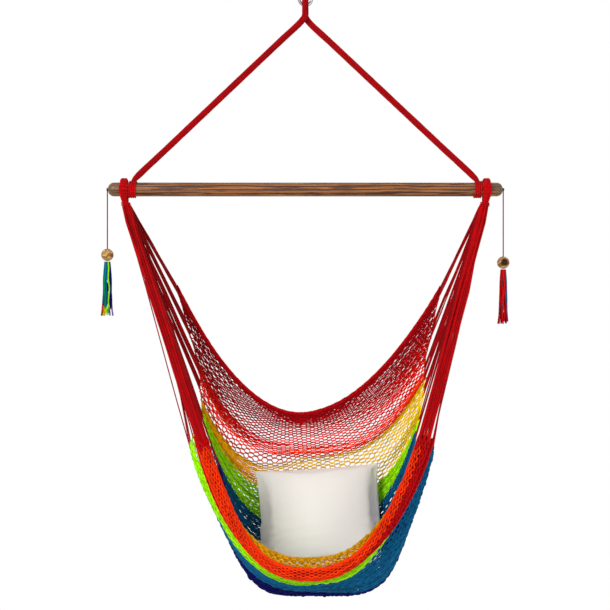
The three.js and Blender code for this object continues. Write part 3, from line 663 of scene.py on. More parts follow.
def hook_lines(first, last):
    """The lines of hooks of a family of bands, from the top down."""
    alongs = [
        band_place(band, crowded(j / BANDS[band][1], BANDS[band][2]), ACROSS)
        for band in range(first, last)
        for j in range(BANDS[band][1] + (band == last - 1))
    ]
    size = len(HOOK_NUMBERS)
    phases = hook_phases(alongs)
    return [
        {
            "along": along, "phase": phases[j], "aside": rough(size, 0.06, 0.1),
            "down": rough(size, 0.16, 0.1), "lift": rough(size, 0.6, 0.3),
        }
        for j, along in enumerate(alongs)
    ]


def edge_cord(lines, end):
    """The cord that the side edge of a band is hooked to."""
    along = np.array([line["along"][end] for line in lines])
    along = np.interp(np.arange(0, len(lines) - 0.9, 0.5), np.arange(len(lines)), along)
    point, _, _, outward = seat_frame(np.full(len(along), ACROSS[end]), along)
    return point + outward * tooth_reach(along)[:, None]


def blended(top, bottom, share, light):
    """A band's colour on the way from its top row to its bottom row, times its painted light."""
    top, bottom = np.array(linear(COLOURS[top])), np.array(linear(COLOURS[bottom]))
    return np.minimum((top + (bottom - top) * share) * light[:, None], 1)


def flat_size(band):
    """The width and length of a band laid flat, where each row opens to the same pitch."""
    middle = seat_point(ACROSS, band_place(band, 0.5, ACROSS))
    return round(float(run_along(middle)[-1]), 3), round(BANDS[band][1] * FLAT_PITCH, 3)


net_bands = []
for first, last in FAMILIES:
    family = hook_lines(first, last)
    start = 0
    for band in range(first, last):
        name, rows, _, top, bottom, side_light = BANDS[band]
        own = family[start : start + rows + 1]
        made = [net_row(start + j, own[j], own[j + 1], side_light) for j in range(rows)]
        lines = [line for line, _ in made]
        tints = [
            blended(top, bottom, (j / (rows - 1)) ** DARK_ROWS, light)
            for j, (_, light) in enumerate(made)
        ]
        for end in (0, -1):
            lines.append(edge_cord(own, end))
            tints.append(blended(top, bottom, 0.5, np.full(len(lines[-1]), side_light[end])))
        piece = corded(f"{name}_knots", lines, NET_CORD, 4, mixed_cord, shades_for(lines, 0.38), tints)
        settle(piece, "seat", SLOTS.get(name, f"{top}_cord"), name)
        net_bands.append((piece, flat_size(band)))
        start += rows

# %% [markdown]
# ## The rolled edges
# At the back and at the lip the net is rolled up into a thick edge. The roll's skin is the same
# net, wrapped round: cords that run along the roll and zigzag, so that they leave slits. A ring of
# shaded cords inside closes the slits. The roll is a little lumpy, as a hand-rolled edge is.


# %% Rolls
def even_across(along, spacing):
    """Places across the seat that are evenly spaced along one of its rows."""
    run = run_along(seat_point(ACROSS, along))
    count = round(run[-1] / spacing * WAVE_STEPS)
    return np.interp(np.linspace(0, run[-1], count + 1), run, ACROSS)


def lumpy(steps, depth):
    slow = np.interp(np.arange(steps) / WAVE_STEPS, np.arange(steps), rough(steps, 1, 0.3))
    return 1 + depth * slow


def roll_lines(centre, first, second, radius_a, radius_b, count, sway, cord_radius):
    """Cords along a roll, on a ring that may be wider one way than the other."""
    steps = len(centre)
    place = np.arange(steps) / WAVE_STEPS
    lines, turns = [], []
    for k in range(count):
        wave = np.clip(FLAT_PEAKS * np.cos(math.pi * (place + k)), -1, 1)
        uneven = np.interp(place, np.arange(steps), rough(steps, 0.12, 0.22))
        turn = math.tau * (k + 0.5 + sway * wave * (1 + uneven) + 0.4 * uneven) / count
        lump = lumpy(steps, 0.05)
        ring = first * (np.cos(turn) * (radius_a - cord_radius) * lump)[:, None]
        ring += second * (np.sin(turn) * (radius_b - cord_radius) * lump)[:, None]
        lines.append(centre + ring)
        turns.append(turn)
    return lines, turns


def roll_core(centre, first, second, radius_a, radius_b, count, share, cord_radius):
    return roll_lines(centre, first, second, radius_a * share, radius_b * share, count, 0, cord_radius)[0]


LIP_ROLL_RADIUS = 0.017
LIP_ROLL_SHARES = (0.9, 0.92, 1)
EDGE_ROLL_RADIUS = 0.008
EDGE_ROLL_TAPER = 0.35
EDGE_ROLL_TURNS = (0.42, 0.31, 0.33)
BACK_ROLL_THICKNESS = 0.013
FIT_GAP = 0.0003
ROLL_CORD = 0.0018
ROLL_SPACING = 0.0125
CORE_SHADE = 0.5


# %% Back edge roll
back_across = even_across(0.0, ROLL_SPACING)
top_edge = seat_frame(back_across, 0.0)
low_edge = seat_frame(back_across, BACK_ROLL_SHARE / STRETCHES)
reach = low_edge[0] - top_edge[0]
back_half = np.linalg.norm(reach, axis=1) / 2 - FIT_GAP
back_centre = (top_edge[0] + low_edge[0]) / 2
back_down = unit(reach)
thick = BACK_ROLL_THICKNESS / 2 * np.ones(len(back_across))
shape = (back_centre, back_down, top_edge[2], back_half, thick)
back_skin, _ = roll_lines(*shape, 12, 0.55, ROLL_CORD)
back_core = roll_core(*shape, 7, 0.6, ROLL_CORD)
shades = np.concatenate([shades_for(back_skin, 0.3) + 0.15, np.full(len(back_core), CORE_SHADE)])
back_roll = corded("back_roll_cords", back_skin + back_core, ROLL_CORD, 6, cord["crimson"], shades)
settle(back_roll, "seat", "crimson_cord", "back_edge_roll")

# %% Front lip roll and the edge tucked outside it
LIP_RED_END = 0.95
OUTER_RED_FROM = -0.05


def lip_tint(turn, across, edge_turn):
    """Orange, with red ends, and red where the seat's edge is wrapped round its outer side."""
    facing = np.cos(turn - edge_turn)
    wrapped = np.clip((across - OUTER_RED_FROM) * 2, 0, 1)
    red = (facing > 1.02 - 1.45 * wrapped) | (np.abs(across) > LIP_RED_END + 0.02 * np.cos(3 * turn))
    return np.where(red[:, None], linear(COLOURS["scarlet"]), linear(COLOURS["orange"]))


lip_across = even_across(1.0, 0.8 * ROLL_SPACING)
lip = seat_frame(lip_across, 1.0)
lip_radius = LIP_ROLL_RADIUS * by_side(LIP_ROLL_SHARES, lip_across, lip_across**2)
lip_centre = lip[0] + lip[1] * (lip_radius + FIT_GAP)[:, None]
edge_turn = math.tau * by_side(EDGE_ROLL_TURNS, lip_across, np.abs(lip_across))
shape = (lip_centre, lip[1], lip[2], lip_radius, lip_radius)
lip_skin, lip_turns = roll_lines(*shape, 26, 0.6, ROLL_CORD)
lip_core = roll_core(*shape, 14, 0.76, ROLL_CORD)
lip_tints = [lip_tint(turn, lip_across, edge_turn) for turn in lip_turns]
lip_tints += [np.tile(linear(COLOURS["vermilion"]), (len(lip_across), 1))] * len(lip_core)
shades = np.concatenate([shades_for(lip_skin, 0.42), np.full(len(lip_core), 1.4 * CORE_SHADE)])
lip_roll = corded("lip_roll_cords", lip_skin + lip_core, ROLL_CORD, 5, mixed_cord, shades, lip_tints)
settle(lip_roll, "seat", "orange_cord", "front_lip_roll")

edge_radius = EDGE_ROLL_RADIUS * (1 - EDGE_ROLL_TAPER * lip_across**4)
edge_reach = (lip_radius + edge_radius + FIT_GAP)[:, None]
edge_centre = lip_centre + edge_reach * (
    lip[1] * np.cos(edge_turn)[:, None] + lip[2] * np.sin(edge_turn)[:, None]
)
shape = (edge_centre, lip[1], lip[2], edge_radius, edge_radius)
edge_skin, _ = roll_lines(*shape, 10, 0.36, ROLL_CORD)
edge_core = roll_core(*shape, 5, 0.55, ROLL_CORD)
shades = np.concatenate([shades_for(edge_skin, 0.16), np.full(len(edge_core), CORE_SHADE)])
edge_roll = corded("edge_roll_cords", edge_skin + edge_core, ROLL_CORD, 5, cord["scarlet"], shades)
settle(edge_roll, "seat", "scarlet_cord", "front_edge_roll")

# %% [markdown]
# ## The clew strings
# At each side the net is carried by some ninety strings, which meet under the bar. Each one is
# straight: it leaves the winding round the neck and ends in a tooth of the net's side edge. Those
# that go to the lip lie side by side and look like one bright band. Those behind are painted darker,
# as the shade they lie in, and light shows between them lower down.

# %% Strings
STRING_RADIUS = 0.0015
LOOP_CENTRE = 0.468
GATHER_SHIFT = 0.008
NECK_SHIFT = 0.004
NECK_BOTTOM = -0.0437
NECK_RADIUS = 0.0094
GATHER_WIDTH = 0.0225
GATHER_DEPTH = 0.0061
STRING_STEPS = 12
TUCK = 0.003
# The last column is each group's painted level. The groups behind are crimson and darker as painted shade, since
# they lie in shade. STRING_LIGHT is painted light that differs from side to side.
GROUPS = {
    "back": (1, 0.0, 0.236, 28, "crimson", 0.8),
    "middle": (0, 0.236, 0.637, 24, "crimson", 0.68),
    "front": (-1, 0.637, 0.927, 5, "scarlet", 0.78),
}
BACK_ROLL_STRINGS = 8
LIP_STRINGS = 26
TOOTH_PULL = {"back": 0.5, "middle": 0.8, "front": 0.5}
CLING = (0.3, 0.58, 0.8)
STRING_LIGHT = {-1: 0.95, 1: 1.15}
LAPPED = {-1: 4, 1: -5}
LIP_BUNCHES = {-1: (2, 0.1), 1: (3, 0.42)}


def toothed(places, pull):
    """Moves each place along a side edge part of the way to the nearest tooth."""
    teeth = np.array(TEETH) / STRETCHES
    nearest = teeth[np.abs(places[:, None] - teeth).argmin(1)]
    return places + (nearest - places) * pull


def lip_places(side):
    """Places from -1 to 1 across the lip's roll, drawn together into bunches."""
    bunches, pull = LIP_BUNCHES[side]
    even = np.linspace(0, bunches, LIP_STRINGS)
    middles = np.minimum(even.astype(int), bunches - 1) + 0.5
    return (even + (middles - even) * pull) * 2 / bunches - 1


def lip_ways(side):
    """Half the lip roll's width, out to the side and square to that, at one of its ends."""
    edge, inner = (0, 1) if side < 0 else (-1, -2)
    along = unit(lip_centre[inner] - lip_centre[edge])
    outer = unit(np.array([side, 0, 0]) - along * along[0] * side)
    return outer * lip_radius[edge], np.cross(along, outer) * lip_radius[edge]


def string_ends(side, depth, start, end, count, pull):
    """Where the strings of one group meet the net, from the highest down."""
    places = toothed(start + (end - start) * (np.arange(count) + 0.5) / count, pull)
    if depth > 0:
        places = np.maximum(places, 1.1 * BACK_ROLL_SHARE / STRETCHES)
    point, _, normal, outward = seat_frame(side * np.ones(count), places)
    ends = list(point + outward * (tooth_reach(places) - TUCK)[:, None])
    edge = 0 if side < 0 else -1
    if depth > 0:
        rolls = np.linspace(0.8, -0.8, BACK_ROLL_STRINGS)
        ends = [back_centre[edge] + back_down[edge] * back_half[edge] * k for k in rolls] + ends
    if depth < 0:
        outer, behind = lip_ways(side)
        for k, place in enumerate(lip_places(side)):
            ends.append(lip_centre[LAPPED[side]] + outer * 0.92 * place + behind * (0.5 if k % 2 else -0.4))
    ends.reverse()
    return ends


def gather_point(side, depth, share):
    across = GATHER_SHIFT + GATHER_WIDTH * (share - 0.5)
    return np.array([side * (LOOP_CENTRE - across), depth * GATHER_DEPTH, BAR_Z + NECK_BOTTOM - 0.003])


def string_line(side, depth, share, end, clings):
    """A string from the neck's winding, through its place in the gather, to the net."""
    gather = gather_point(side, depth, share) + [0, 0.0026 * randoms.normal(0, 1), 0]
    neck = np.array([side * (LOOP_CENTRE - NECK_SHIFT), 0, BAR_Z + NECK_BOTTOM + 0.010])
    inside = neck + (gather - neck) * [0.62, 0.62, 0.2]
    run = gather + (end - gather) * np.linspace(0, 1, 5)[:, None]
    if clings:
        band_start = gather_point(side, depth, 0.0)
        way = lip_centre[0 if side < 0 else -1] + lip_ways(side)[0] - band_start
        beside = [band_start + way * part + randoms.normal(0, 0.0012, 3) for part in CLING]
        run = np.vstack([gather, *beside, end])
    else:
        run[1:-1] += randoms.normal(0, 0.0009, (3, 3))
    return curve_through(np.vstack([inside, run]), np.linspace(0, 1, STRING_STEPS))


for name, side in SIDES.items():
    for group, (depth, start, end, count, colour, level) in GROUPS.items():
        ends = string_ends(side, depth, start, end, count, TOOTH_PULL[group])
        clinging = LIP_STRINGS if depth < 0 else len(ends)
        lines = [
            string_line(side, depth, i / (len(ends) - 1), end, i >= clinging) for i, end in enumerate(ends)
        ]
        shades = level * STRING_LIGHT[side] * shades_for(lines, 0.3)
        piece = corded(f"{name}_{group}_string_fan", lines, STRING_RADIUS, 6, cord[colour], shades)
        settle(piece, "seat", "scarlet_cord", f"{name}_{group}_strings")
for piece, flat in net_bands:
    print(f"{piece.name}: laid flat {flat[0] * 1000:.0f} by {flat[1] * 1000:.0f} mm")

# %% [markdown]
# ## The clew loops
# Under the bar the strings turn back over it as one thick loop, and a thin cord is wound round the
# neck. The loop is a bundle of cords, each a long way round the bar and down again. The winding is
# a spiral that Geometry Nodes draws from its radius, its pitch and its turns.

# %% Clew loops
LOOP_HALF_WIDTH = 0.0094
LOOP_CORD = 0.0016
LOOP_MIDDLE = 0.0243
LOOP_HALF_THICK = 0.0054
LOOP_LAYERS = [(0.0203, 5), (0.0232, 6), (0.0259, 6), (0.0281, 5)]
NECK_END = -0.046
LOOP_POINTS = 30
BRIDGES = 7
BRIDGE_TOP = 0.009
BRIDGE_STEP = 0.0031
BRIDGE_POINTS = 12


def loop_line(side, radius, share):
    """One cord of the loop: up from the neck, over the bar and down again."""
    round_off = math.sqrt(1 - ((radius - LOOP_MIDDLE) / LOOP_HALF_THICK) ** 2)
    offset = share * (LOOP_HALF_WIDTH - LOOP_CORD) * round_off
    turns = np.radians(np.linspace(-48, 228, LOOP_POINTS))
    over = np.stack([offset * np.ones(LOOP_POINTS), -radius * np.cos(turns), radius * np.sin(turns)], 1)
    shift = -side * NECK_SHIFT
    depth = 0.001 + 0.006 * (0.35 + 0.3 * (radius - 0.02) / 0.008)

    def leg(sign):
        return np.array([
            [shift * 0.6 + offset * 0.85, sign * (0.004 + radius * 0.25), -0.031],
            [shift + offset * 0.7, sign * depth, -0.038],
            [shift + offset * 0.7, sign * depth, NECK_END],
        ])

    line = np.vstack([leg(-1)[::-1], over, leg(1)])
    return line + [side * LOOP_CENTRE, 0, BAR_Z]


def bridge_line(side, rank):
    """One of the cords that bind the loop across its front."""
    turns = np.radians(np.linspace(-80, 80, BRIDGE_POINTS))
    height = BRIDGE_TOP - BRIDGE_STEP * rank
    outer = math.sqrt((LOOP_MIDDLE + LOOP_HALF_THICK) ** 2 - height**2)
    x = (LOOP_HALF_WIDTH + 0.0004) * np.sin(turns)
    y = -outer - 0.0006 + LOOP_HALF_THICK * (1 - np.cos(turns))
    line = np.stack([x, y, np.full(BRIDGE_POINTS, height)], 1)
    return line + [side * LOOP_CENTRE, 0, BAR_Z]


for name, side in SIDES.items():
    lines = [
        loop_line(side, radius, 2 * k / (count - 1) - 1)
        for radius, count in LOOP_LAYERS
        for k in range(count)
    ]
    lines += [bridge_line(side, rank) for rank in range(BRIDGES)]
    piece = corded(f"{name}_loop_cords", lines, LOOP_CORD, 6, cord["scarlet"], shades_for(lines, 0.25))
    settle(piece, "seat", "crimson_cord", f"{name}_clew_loop")


# %% Geometry Nodes: a wound cord
def winding_group():
    group, tree, given = new_group("wound_cord", [
        ("Radius", "Float"), ("Pitch", "Float"), ("Turns", "Float"),
        ("Cord", "Float"), ("Finish", "Material"),
    ])
    spiral = tree.node(
        "GeometryNodeCurveSpiral", {}, Resolution=40, Rotations=given["Turns"],
        Start_Radius=given["Radius"], End_Radius=given["Radius"], Height=given["Pitch"] * given["Turns"],
    )
    spiral = named(
        tree, spiral, "cord_length", "FLOAT", tree.node("GeometryNodeSplineParameter", {}, output=1),
    )
    spiral = named(tree, spiral, "cord_shade", "FLOAT", 1.0)
    ring = tree.node("GeometryNodeCurvePrimitiveCircle", {}, Resolution=12, Radius=given["Cord"])
    facing = tree.node(
        "ShaderNodeVectorMath", {"operation": "NORMALIZE"}, tree.node("GeometryNodeInputPosition", {}),
    )
    ring = named(tree, ring, "cord_side", "FLOAT_VECTOR", facing)
    skin = tree.node("GeometryNodeCurveToMesh", {}, spiral, ring, Fill_Caps=True)
    end_group(group, tree, skin, given["Finish"])
    return group


wound_cord = winding_group()


def wound(name, radius, pitch, turns, cord_radius, finish, middle, turn):
    blank = bpy.data.meshes.new(name)
    piece = through_tree(
        name, blank, wound_cord, Radius=radius, Pitch=pitch, Turns=turns, Cord=cord_radius, Finish=finish,
    )
    half = Vector((0, 0, -pitch * turns / 2))
    for vertex in piece.data.vertices:
        vertex.co = turn @ (vertex.co + half) + Vector(middle)
    print(f"{name}: {turns:g} turns, {len(piece.data.polygons)} faces")
    return piece


UPRIGHT = Euler((0, 0, math.pi / 2)).to_matrix()
ALONG_X = Euler((0, math.pi / 2, 0)).to_matrix() @ UPRIGHT
SEIZING_CORD = 0.0014
SEIZING_PITCH = 0.0033
SEIZING_MIDDLE = -0.0379
HITCH_CORD = 0.0022
HITCH_PITCH = 0.005
HITCH_RADIUS = 0.0205
HITCH_CENTRE = 0.446
for name, side in SIDES.items():
    piece = wound(
        f"{name}_neck_winding", NECK_RADIUS + FIT_GAP + SEIZING_CORD, SEIZING_PITCH, 3.0, SEIZING_CORD,
        cord["scarlet"], (side * (LOOP_CENTRE - NECK_SHIFT), 0, BAR_Z + SEIZING_MIDDLE), UPRIGHT,
    )
    settle(piece, "seat", "crimson_cord", f"{name}_neck_seizing")
    piece = wound(
        f"{name}_hitch_winding", HITCH_RADIUS, HITCH_PITCH, 4.0, HITCH_CORD,
        cord["scarlet"], (side * HITCH_CENTRE, 0, BAR_Z), ALONG_X,
    )
    settle(piece, "suspension", "crimson_cord", f"{name}_leg_hitch")

# %% [markdown]
# ## The suspension rope
# The rope is a bundle of the same cord, hardly twisted, which is why the photograph shows fine
# lines along it. One length makes both legs and the eye between them. A bundle is a core of
# straight cords with rings of cords round it, all turned slowly along the path.


# %% Rope bundles
def path_frames(path):
    along = unit(np.gradient(path, axis=0))
    first = np.zeros_like(path)
    start = np.array([0.0, 1.0, 0.0]) if abs(along[0][1]) < 0.7 else np.array([1.0, 0.0, 0.0])
    for i, tangent in enumerate(along):
        start = start - tangent * start.dot(tangent)
        start = start / np.linalg.norm(start)
        first[i] = start
    return first, np.cross(along, first)


def bundle(path, radius, cord_radius, turns_per_metre=1.5, taper=1.0):
    """Cords that fill a rope of this radius along a path. The taper may change along it."""
    first, second = path_frames(path)
    run = np.concatenate([[0], np.cumsum(np.linalg.norm(np.diff(path, axis=0), axis=1))])
    lines = [path]
    ring = radius - cord_radius
    while ring > cord_radius * 1.2:
        count = max(3, int(math.tau * ring / (2.02 * cord_radius)))
        for k in range(count):
            turn = math.tau * (k / count + turns_per_metre * run)
            out = ring * taper
            lines.append(
                path + first * (out * np.cos(turn))[:, None] + second * (out * np.sin(turn))[:, None],
            )
        ring -= 1.8 * cord_radius
    return lines


ROPE_RADIUS = 0.0085
ROPE_CORD = 0.0017
STRAND_OFFSET = 0.0087
THROAT_DROP = -0.089
THROAT_LENGTH = 0.012
LEG_TOUCH = (0.441, 0, BAR_Z + 0.0265)
LEG_TUCK = (0.446, 0, BAR_Z + 0.0195)
TUCK_TAPER = 0.5

for name, side in SIDES.items():
    part = np.array([0, side * STRAND_OFFSET, THROAT_DROP - THROAT_LENGTH])
    end, tuck = (np.array([side * x, y, z]) for x, y, z in (LEG_TOUCH, LEG_TUCK))
    away = unit(end - part)
    knots = np.vstack([
        [0, side * STRAND_OFFSET, THROAT_DROP + 0.003], part + [0, 0, 0.006], part + away * 0.012,
        part + (end - part) * np.linspace(0.15, 1, 5)[:, None], tuck,
    ])
    path = curve_through(knots, np.linspace(0, 1, 54))
    ending = np.clip(np.linalg.norm(path - tuck, axis=1) / (2 * ROPE_RADIUS), 0, 1)
    lines = bundle(path, ROPE_RADIUS, ROPE_CORD, taper=TUCK_TAPER + (1 - TUCK_TAPER) * ending)
    piece = corded(f"{name}_leg_cords", lines, ROPE_CORD, 6, cord["crimson"], shades_for(lines, 0.12))
    settle(piece, "suspension", "crimson_cord", f"{name}_leg_rope")

HOOK_INNER_LENGTH = 0.064
EYE_ARCH = 0.014
CROWN = -HOOK_INNER_LENGTH + ROPE_RADIUS + 0.0008
ARCH_CENTRE = CROWN - EYE_ARCH
THROAT_TOP = THROAT_DROP + ROPE_RADIUS / 2


def eye_path():
    side = np.array([
        [0, STRAND_OFFSET, THROAT_DROP - 0.003],
        [0, STRAND_OFFSET, THROAT_TOP],
        [0, STRAND_OFFSET + (EYE_ARCH - STRAND_OFFSET) * 0.62, THROAT_TOP + (ARCH_CENTRE - THROAT_TOP) * 0.57],
    ])
    turns = np.linspace(0, math.pi, 9)
    arch = np.stack([0 * turns, EYE_ARCH * np.cos(turns), ARCH_CENTRE + EYE_ARCH * np.sin(turns)], 1)
    return curve_through(np.vstack([side, arch, (side * [1, -1, 1])[::-1]]), np.linspace(0, 1, 60))


lines = bundle(eye_path(), ROPE_RADIUS, ROPE_CORD, 3.0)
rope_eye = corded("eye_cords", lines, ROPE_CORD, 6, cord["crimson"], shades_for(lines, 0.12))
settle(rope_eye, "eye", "crimson_cord", "rope_eye")

# %% [markdown]
# ## Wood
# The bar is a turned hardwood dowel with an oiled finish. Wood is fibres along its length, so the
# pattern is noise pulled out along X: broad bands of colour, narrow dark streaks, and pores that
# are finer still. The beads are pale softwood, turned with the grain upright.


# %% Finish: wood
def wood_finish(name, pale, mid, dark, axis_scale, knot=None, ends=None, gloss=1.0):
    finish = Finish(name, Coat_Weight=0.3 * gloss, Coat_Roughness=0.22, Specular_IOR_Level=0.4 * gloss)
    grain = finish.stretched(finish.place(), axis_scale)
    warp = finish.noise(grain, 2.2, 3.0)
    bands = finish.node("ShaderNodeTexWave", {"wave_type": "BANDS", "bands_direction": "Z"},
                        Vector=grain, Scale=1.7, Distortion=5.5, Detail=3.0, Detail_Scale=1.2, output=1)
    streaks = finish.noise(grain, 9.0, 4.0)
    pores = finish.noise(grain, 60.0, 2.0)
    colour = finish.ramp(bands * 0.5 + warp * 0.5, [
        (0.33, linear(dark)), (0.44, linear(mid)), (0.56, linear(pale)), (0.7, linear(mid)),
    ])
    dark_streak = ((streaks - 0.52) * 9).clamped(0.85)
    colour = finish.mix(dark_streak, colour, linear(dark))
    pore = ((pores - 0.6) * 6).clamped()
    colour = finish.mix(pore * 0.35, colour, linear(dark, 0.6))
    if knot is not None:
        centre, radius = knot
        apart = finish.distance(centre)
        spot = ((1 - (apart + (warp - 0.5) * radius) / radius) * 2.2).clamped()
        colour = finish.mix(spot, colour, linear("2c1408"))
    if ends is not None:
        parts = finish.nodes.new("ShaderNodeSeparateXYZ")
        finish.put(parts, 0, finish.place())
        beyond = Value(finish, parts.outputs[0]).math("ABSOLUTE") - ends
        colour = finish.mix((beyond * 60).clamped(0.6), colour, linear("5c4a2c"))
    return finish.wear(
        Base_Color=colour,
        Roughness=0.34 + streaks * 0.2,
        Normal=finish.bump(pores * 0.5 + streaks * 0.5, 0.0003, 0.6),
    )


bar_wood = wood_finish(
    "oiled_hardwood", "bc7c40", "78441a", "3a1a08", (1.4, 22.0, 22.0), ends=0.482, gloss=0.7,
)

# %% Spreader bar
BAR_RADIUS = 0.018
END_ROUND = 0.016
BAR_SIDES = 72


def turned_mesh(name, profile, sides, centre, axis):
    """A turned solid from [radius, place along the axis] points. The first and last lie on the axis."""
    points, faces = [], []
    rings = profile[1:-1]
    for radius, place in rings:
        for k in range(sides):
            turn = math.tau * k / sides
            points.append((radius * math.cos(turn), radius * math.sin(turn), place))
    count = len(rings) * sides
    points += [(0, 0, profile[0][1]), (0, 0, profile[-1][1])]
    for k in range(sides):
        ahead = (k + 1) % sides
        for r in range(len(rings) - 1):
            faces.append((r * sides + k, r * sides + ahead, (r + 1) * sides + ahead, (r + 1) * sides + k))
        faces.append((count, ahead, k))
        last = (len(rings) - 1) * sides
        faces.append((count + 1, last + k, last + ahead))
    mesh = bpy.data.meshes.new(name)
    mesh.from_pydata(points, [], faces)
    mesh.transform(Vector((0, 0, 1)).rotation_difference(Vector(axis)).to_matrix().to_4x4())
    for vertex in mesh.vertices:
        vertex.co += Vector(centre)
    mesh.polygons.foreach_set("use_smooth", [True] * len(mesh.polygons))
    piece = placed(name, mesh)
    with editing(mesh) as tidy:
        bmesh.ops.recalc_face_normals(tidy, faces=tidy.faces)
    return piece


quarter = [
    (BAR_RADIUS - END_ROUND + END_ROUND * math.sin(t), HALF_BAR - END_ROUND + END_ROUND * math.cos(t))
    for t in np.linspace(0, math.pi / 2, 9)
]
body_places = np.linspace(HALF_BAR - END_ROUND, -HALF_BAR + END_ROUND, 30)[1:-1]
half_profile = [(0, HALF_BAR), *quarter]
profile = half_profile + [(BAR_RADIUS, p) for p in body_places] + [(r, -p) for r, p in reversed(half_profile)]
bar = turned_mesh("turned_bar", profile, BAR_SIDES, (0, 0, BAR_Z), (1, 0, 0))
bar.data.materials.append(bar_wood)
settle(bar, "suspension", "bar_wood", "spreader_bar")
print("bar:", len(bar.data.polygons), "faces")

# %% [markdown]
# ## Beads and tassels
# A bead has a bore for its cord, with a soft edge where the drill came out. Under it the tassel is
# a knot with offcuts of every colour of the net tied into it. Its strands hang with a slight wave
# and end at different heights, some of them in another colour at the tip. One finish serves them all:
# it reads its colour from the strand.

# %% Beads
BEAD_BORE = 0.002
BORE_DEPTH = 0.004
BEAD_SIDES, BEAD_STEPS = 48, 28
bead_marks = {
    "left": None,
    "right": ((TASSEL_X + 0.0015, -0.0155, BAR_Z - BEAD_DROPS["right"] - BEAD_RADIUS + 0.0015), 0.012),
}
for name, side in SIDES.items():
    finish = wood_finish(
        f"{name}_bead_wood", "d0aa78", "b48a54", "86602f", (20.0, 20.0, 9.0), bead_marks[name], gloss=0.2,
    )
    centre = (side * TASSEL_X, 0, BAR_Z - BEAD_DROPS[name] - BEAD_RADIUS)
    start = math.asin(BEAD_BORE / BEAD_RADIUS)
    turns = np.linspace(start, math.pi - start, BEAD_STEPS)
    curve = [(BEAD_RADIUS * math.sin(t), BEAD_RADIUS * math.cos(t)) for t in turns]
    lip_top = curve[0][1]
    profile = [(0, lip_top - BORE_DEPTH), (0.0015, lip_top - BORE_DEPTH), (0.0016, lip_top - 0.0008), *curve]
    profile += [(0.0016, -lip_top + 0.0008), (0.0015, -lip_top + BORE_DEPTH), (0, -lip_top + BORE_DEPTH)]
    bead = turned_mesh(f"{name}_turned_bead", profile, BEAD_SIDES, centre, (0, 0, 1))
    bead.data.materials.append(finish)
    settle(bead, f"{name}_bead", "bead_wood", f"{name}_tassel_bead")

# %% Tassel skirts
STRAND_LENGTHS = {"left": 0.141, "right": 0.142}
STRAND_RADIUS = 0.0019
STRAND_POINTS = 18
TIP_POINTS = 3
SKIRT_COLOURS = {
    "left": "navy teal teal lime teal navy teal teal green teal lime navy",
    "right": "navy scarlet crimson scarlet teal scarlet scarlet crimson scarlet vermilion crimson teal",
}
TIP_COLOURS = {
    "left": "navy lilac gold scarlet crimson lime scarlet crimson gold lime teal lilac",
    "right": "crimson vermilion scarlet crimson scarlet vermilion crimson scarlet vermilion crimson navy scarlet",
}
INNER_STRANDS = 6
SKIRT_SPREADS = {"left": 1.18, "right": 1.02}


def tassel_lines(name, side):
    """Wavy strands that hang close under the knot, spread a little and end in a tip of another colour."""
    top = BAR_Z - BEAD_DROPS[name] - 2 * BEAD_RADIUS - 0.0006
    colours, tips = SKIRT_COLOURS[name].split(), TIP_COLOURS[name].split()
    share = np.linspace(0, 1, STRAND_POINTS)
    lines, tints = [], []
    for k in range(len(colours) + INNER_STRANDS):
        inner = k >= len(colours)
        turn = math.tau * k / (INNER_STRANDS if inner else len(colours))
        out = np.array([math.cos(turn), math.sin(turn)])
        length = STRAND_LENGTHS[name] * (1 - 0.14 * randoms.random() ** 2)
        bulge = 0.0052 + 0.003 * np.sin(math.pi * np.minimum(share * 1.3, 0.5))
        flare = 0.0045 * (0.3 + randoms.random()) * share**4
        radius = (bulge * (0.45 if inner else 1) + flare) * SKIRT_SPREADS[name]
        waves = share * (9 + 7 * randoms.random()) + 6 * randoms.random()
        sway = 0.0017 * np.sin(waves) * np.minimum(1, 3 * share)
        flat = out[None, :] * radius[:, None] + sway[:, None] * np.array([-out[1], out[0]])
        hang = top - 0.001 - (length - 0.001) * share
        lines.append(np.column_stack([side * TASSEL_X + flat[:, 0], flat[:, 1], hang]))
        tint = np.tile(linear(COLOURS[colours[k % len(colours)]]), (STRAND_POINTS, 1))
        tint[-TIP_POINTS:] = linear(COLOURS[tips[k % len(tips)]])
        tints.append(tint)
    return lines, tints, top


def knot_lines(side, top, colour):
    """Turns of cord round the top of the strands."""
    turns = np.linspace(0, math.tau, 18, endpoint=False)
    lines = []
    for k in range(3):
        radius = 0.0046 - 0.0008 * (k == 0)
        z = np.full(18, top - 0.0035 - 0.0024 * k)
        lines.append(np.stack([side * TASSEL_X + radius * np.cos(turns), radius * np.sin(turns), z], 1))
    return lines, [np.tile(linear(COLOURS[colour]), (18, 1))] * 3


for name, side in SIDES.items():
    lines, tints, top = tassel_lines(name, side)
    skirt = corded(f"{name}_tassel_strands", lines, STRAND_RADIUS, 7, mixed_cord, shades_for(lines), tints)
    colour = "teal" if side < 0 else "scarlet"
    settle(skirt, f"{name}_skirt", f"{colour}_cord", f"{name}_tassel_skirt")
    knot, knot_tints = knot_lines(side, top, colour)
    band = corded(
        f"{name}_tassel_knot", knot, 0.0013, 8, mixed_cord, shades_for(knot), knot_tints, closed=True,
    )
    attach(band, f"{name}_skirt")
    piece, line, length = tassel_cords[name]

# %% [markdown]
# ## The snap hook
# The hook is bent from 8 mm wire, with a sprung gate between its ends. The wire is one more line
# with a ring swept along it, round enough to catch a clean highlight. The gate, its rivet and the
# tacks keep the frame's own shape: a copy is welded and its sharp edges are kept sharp.


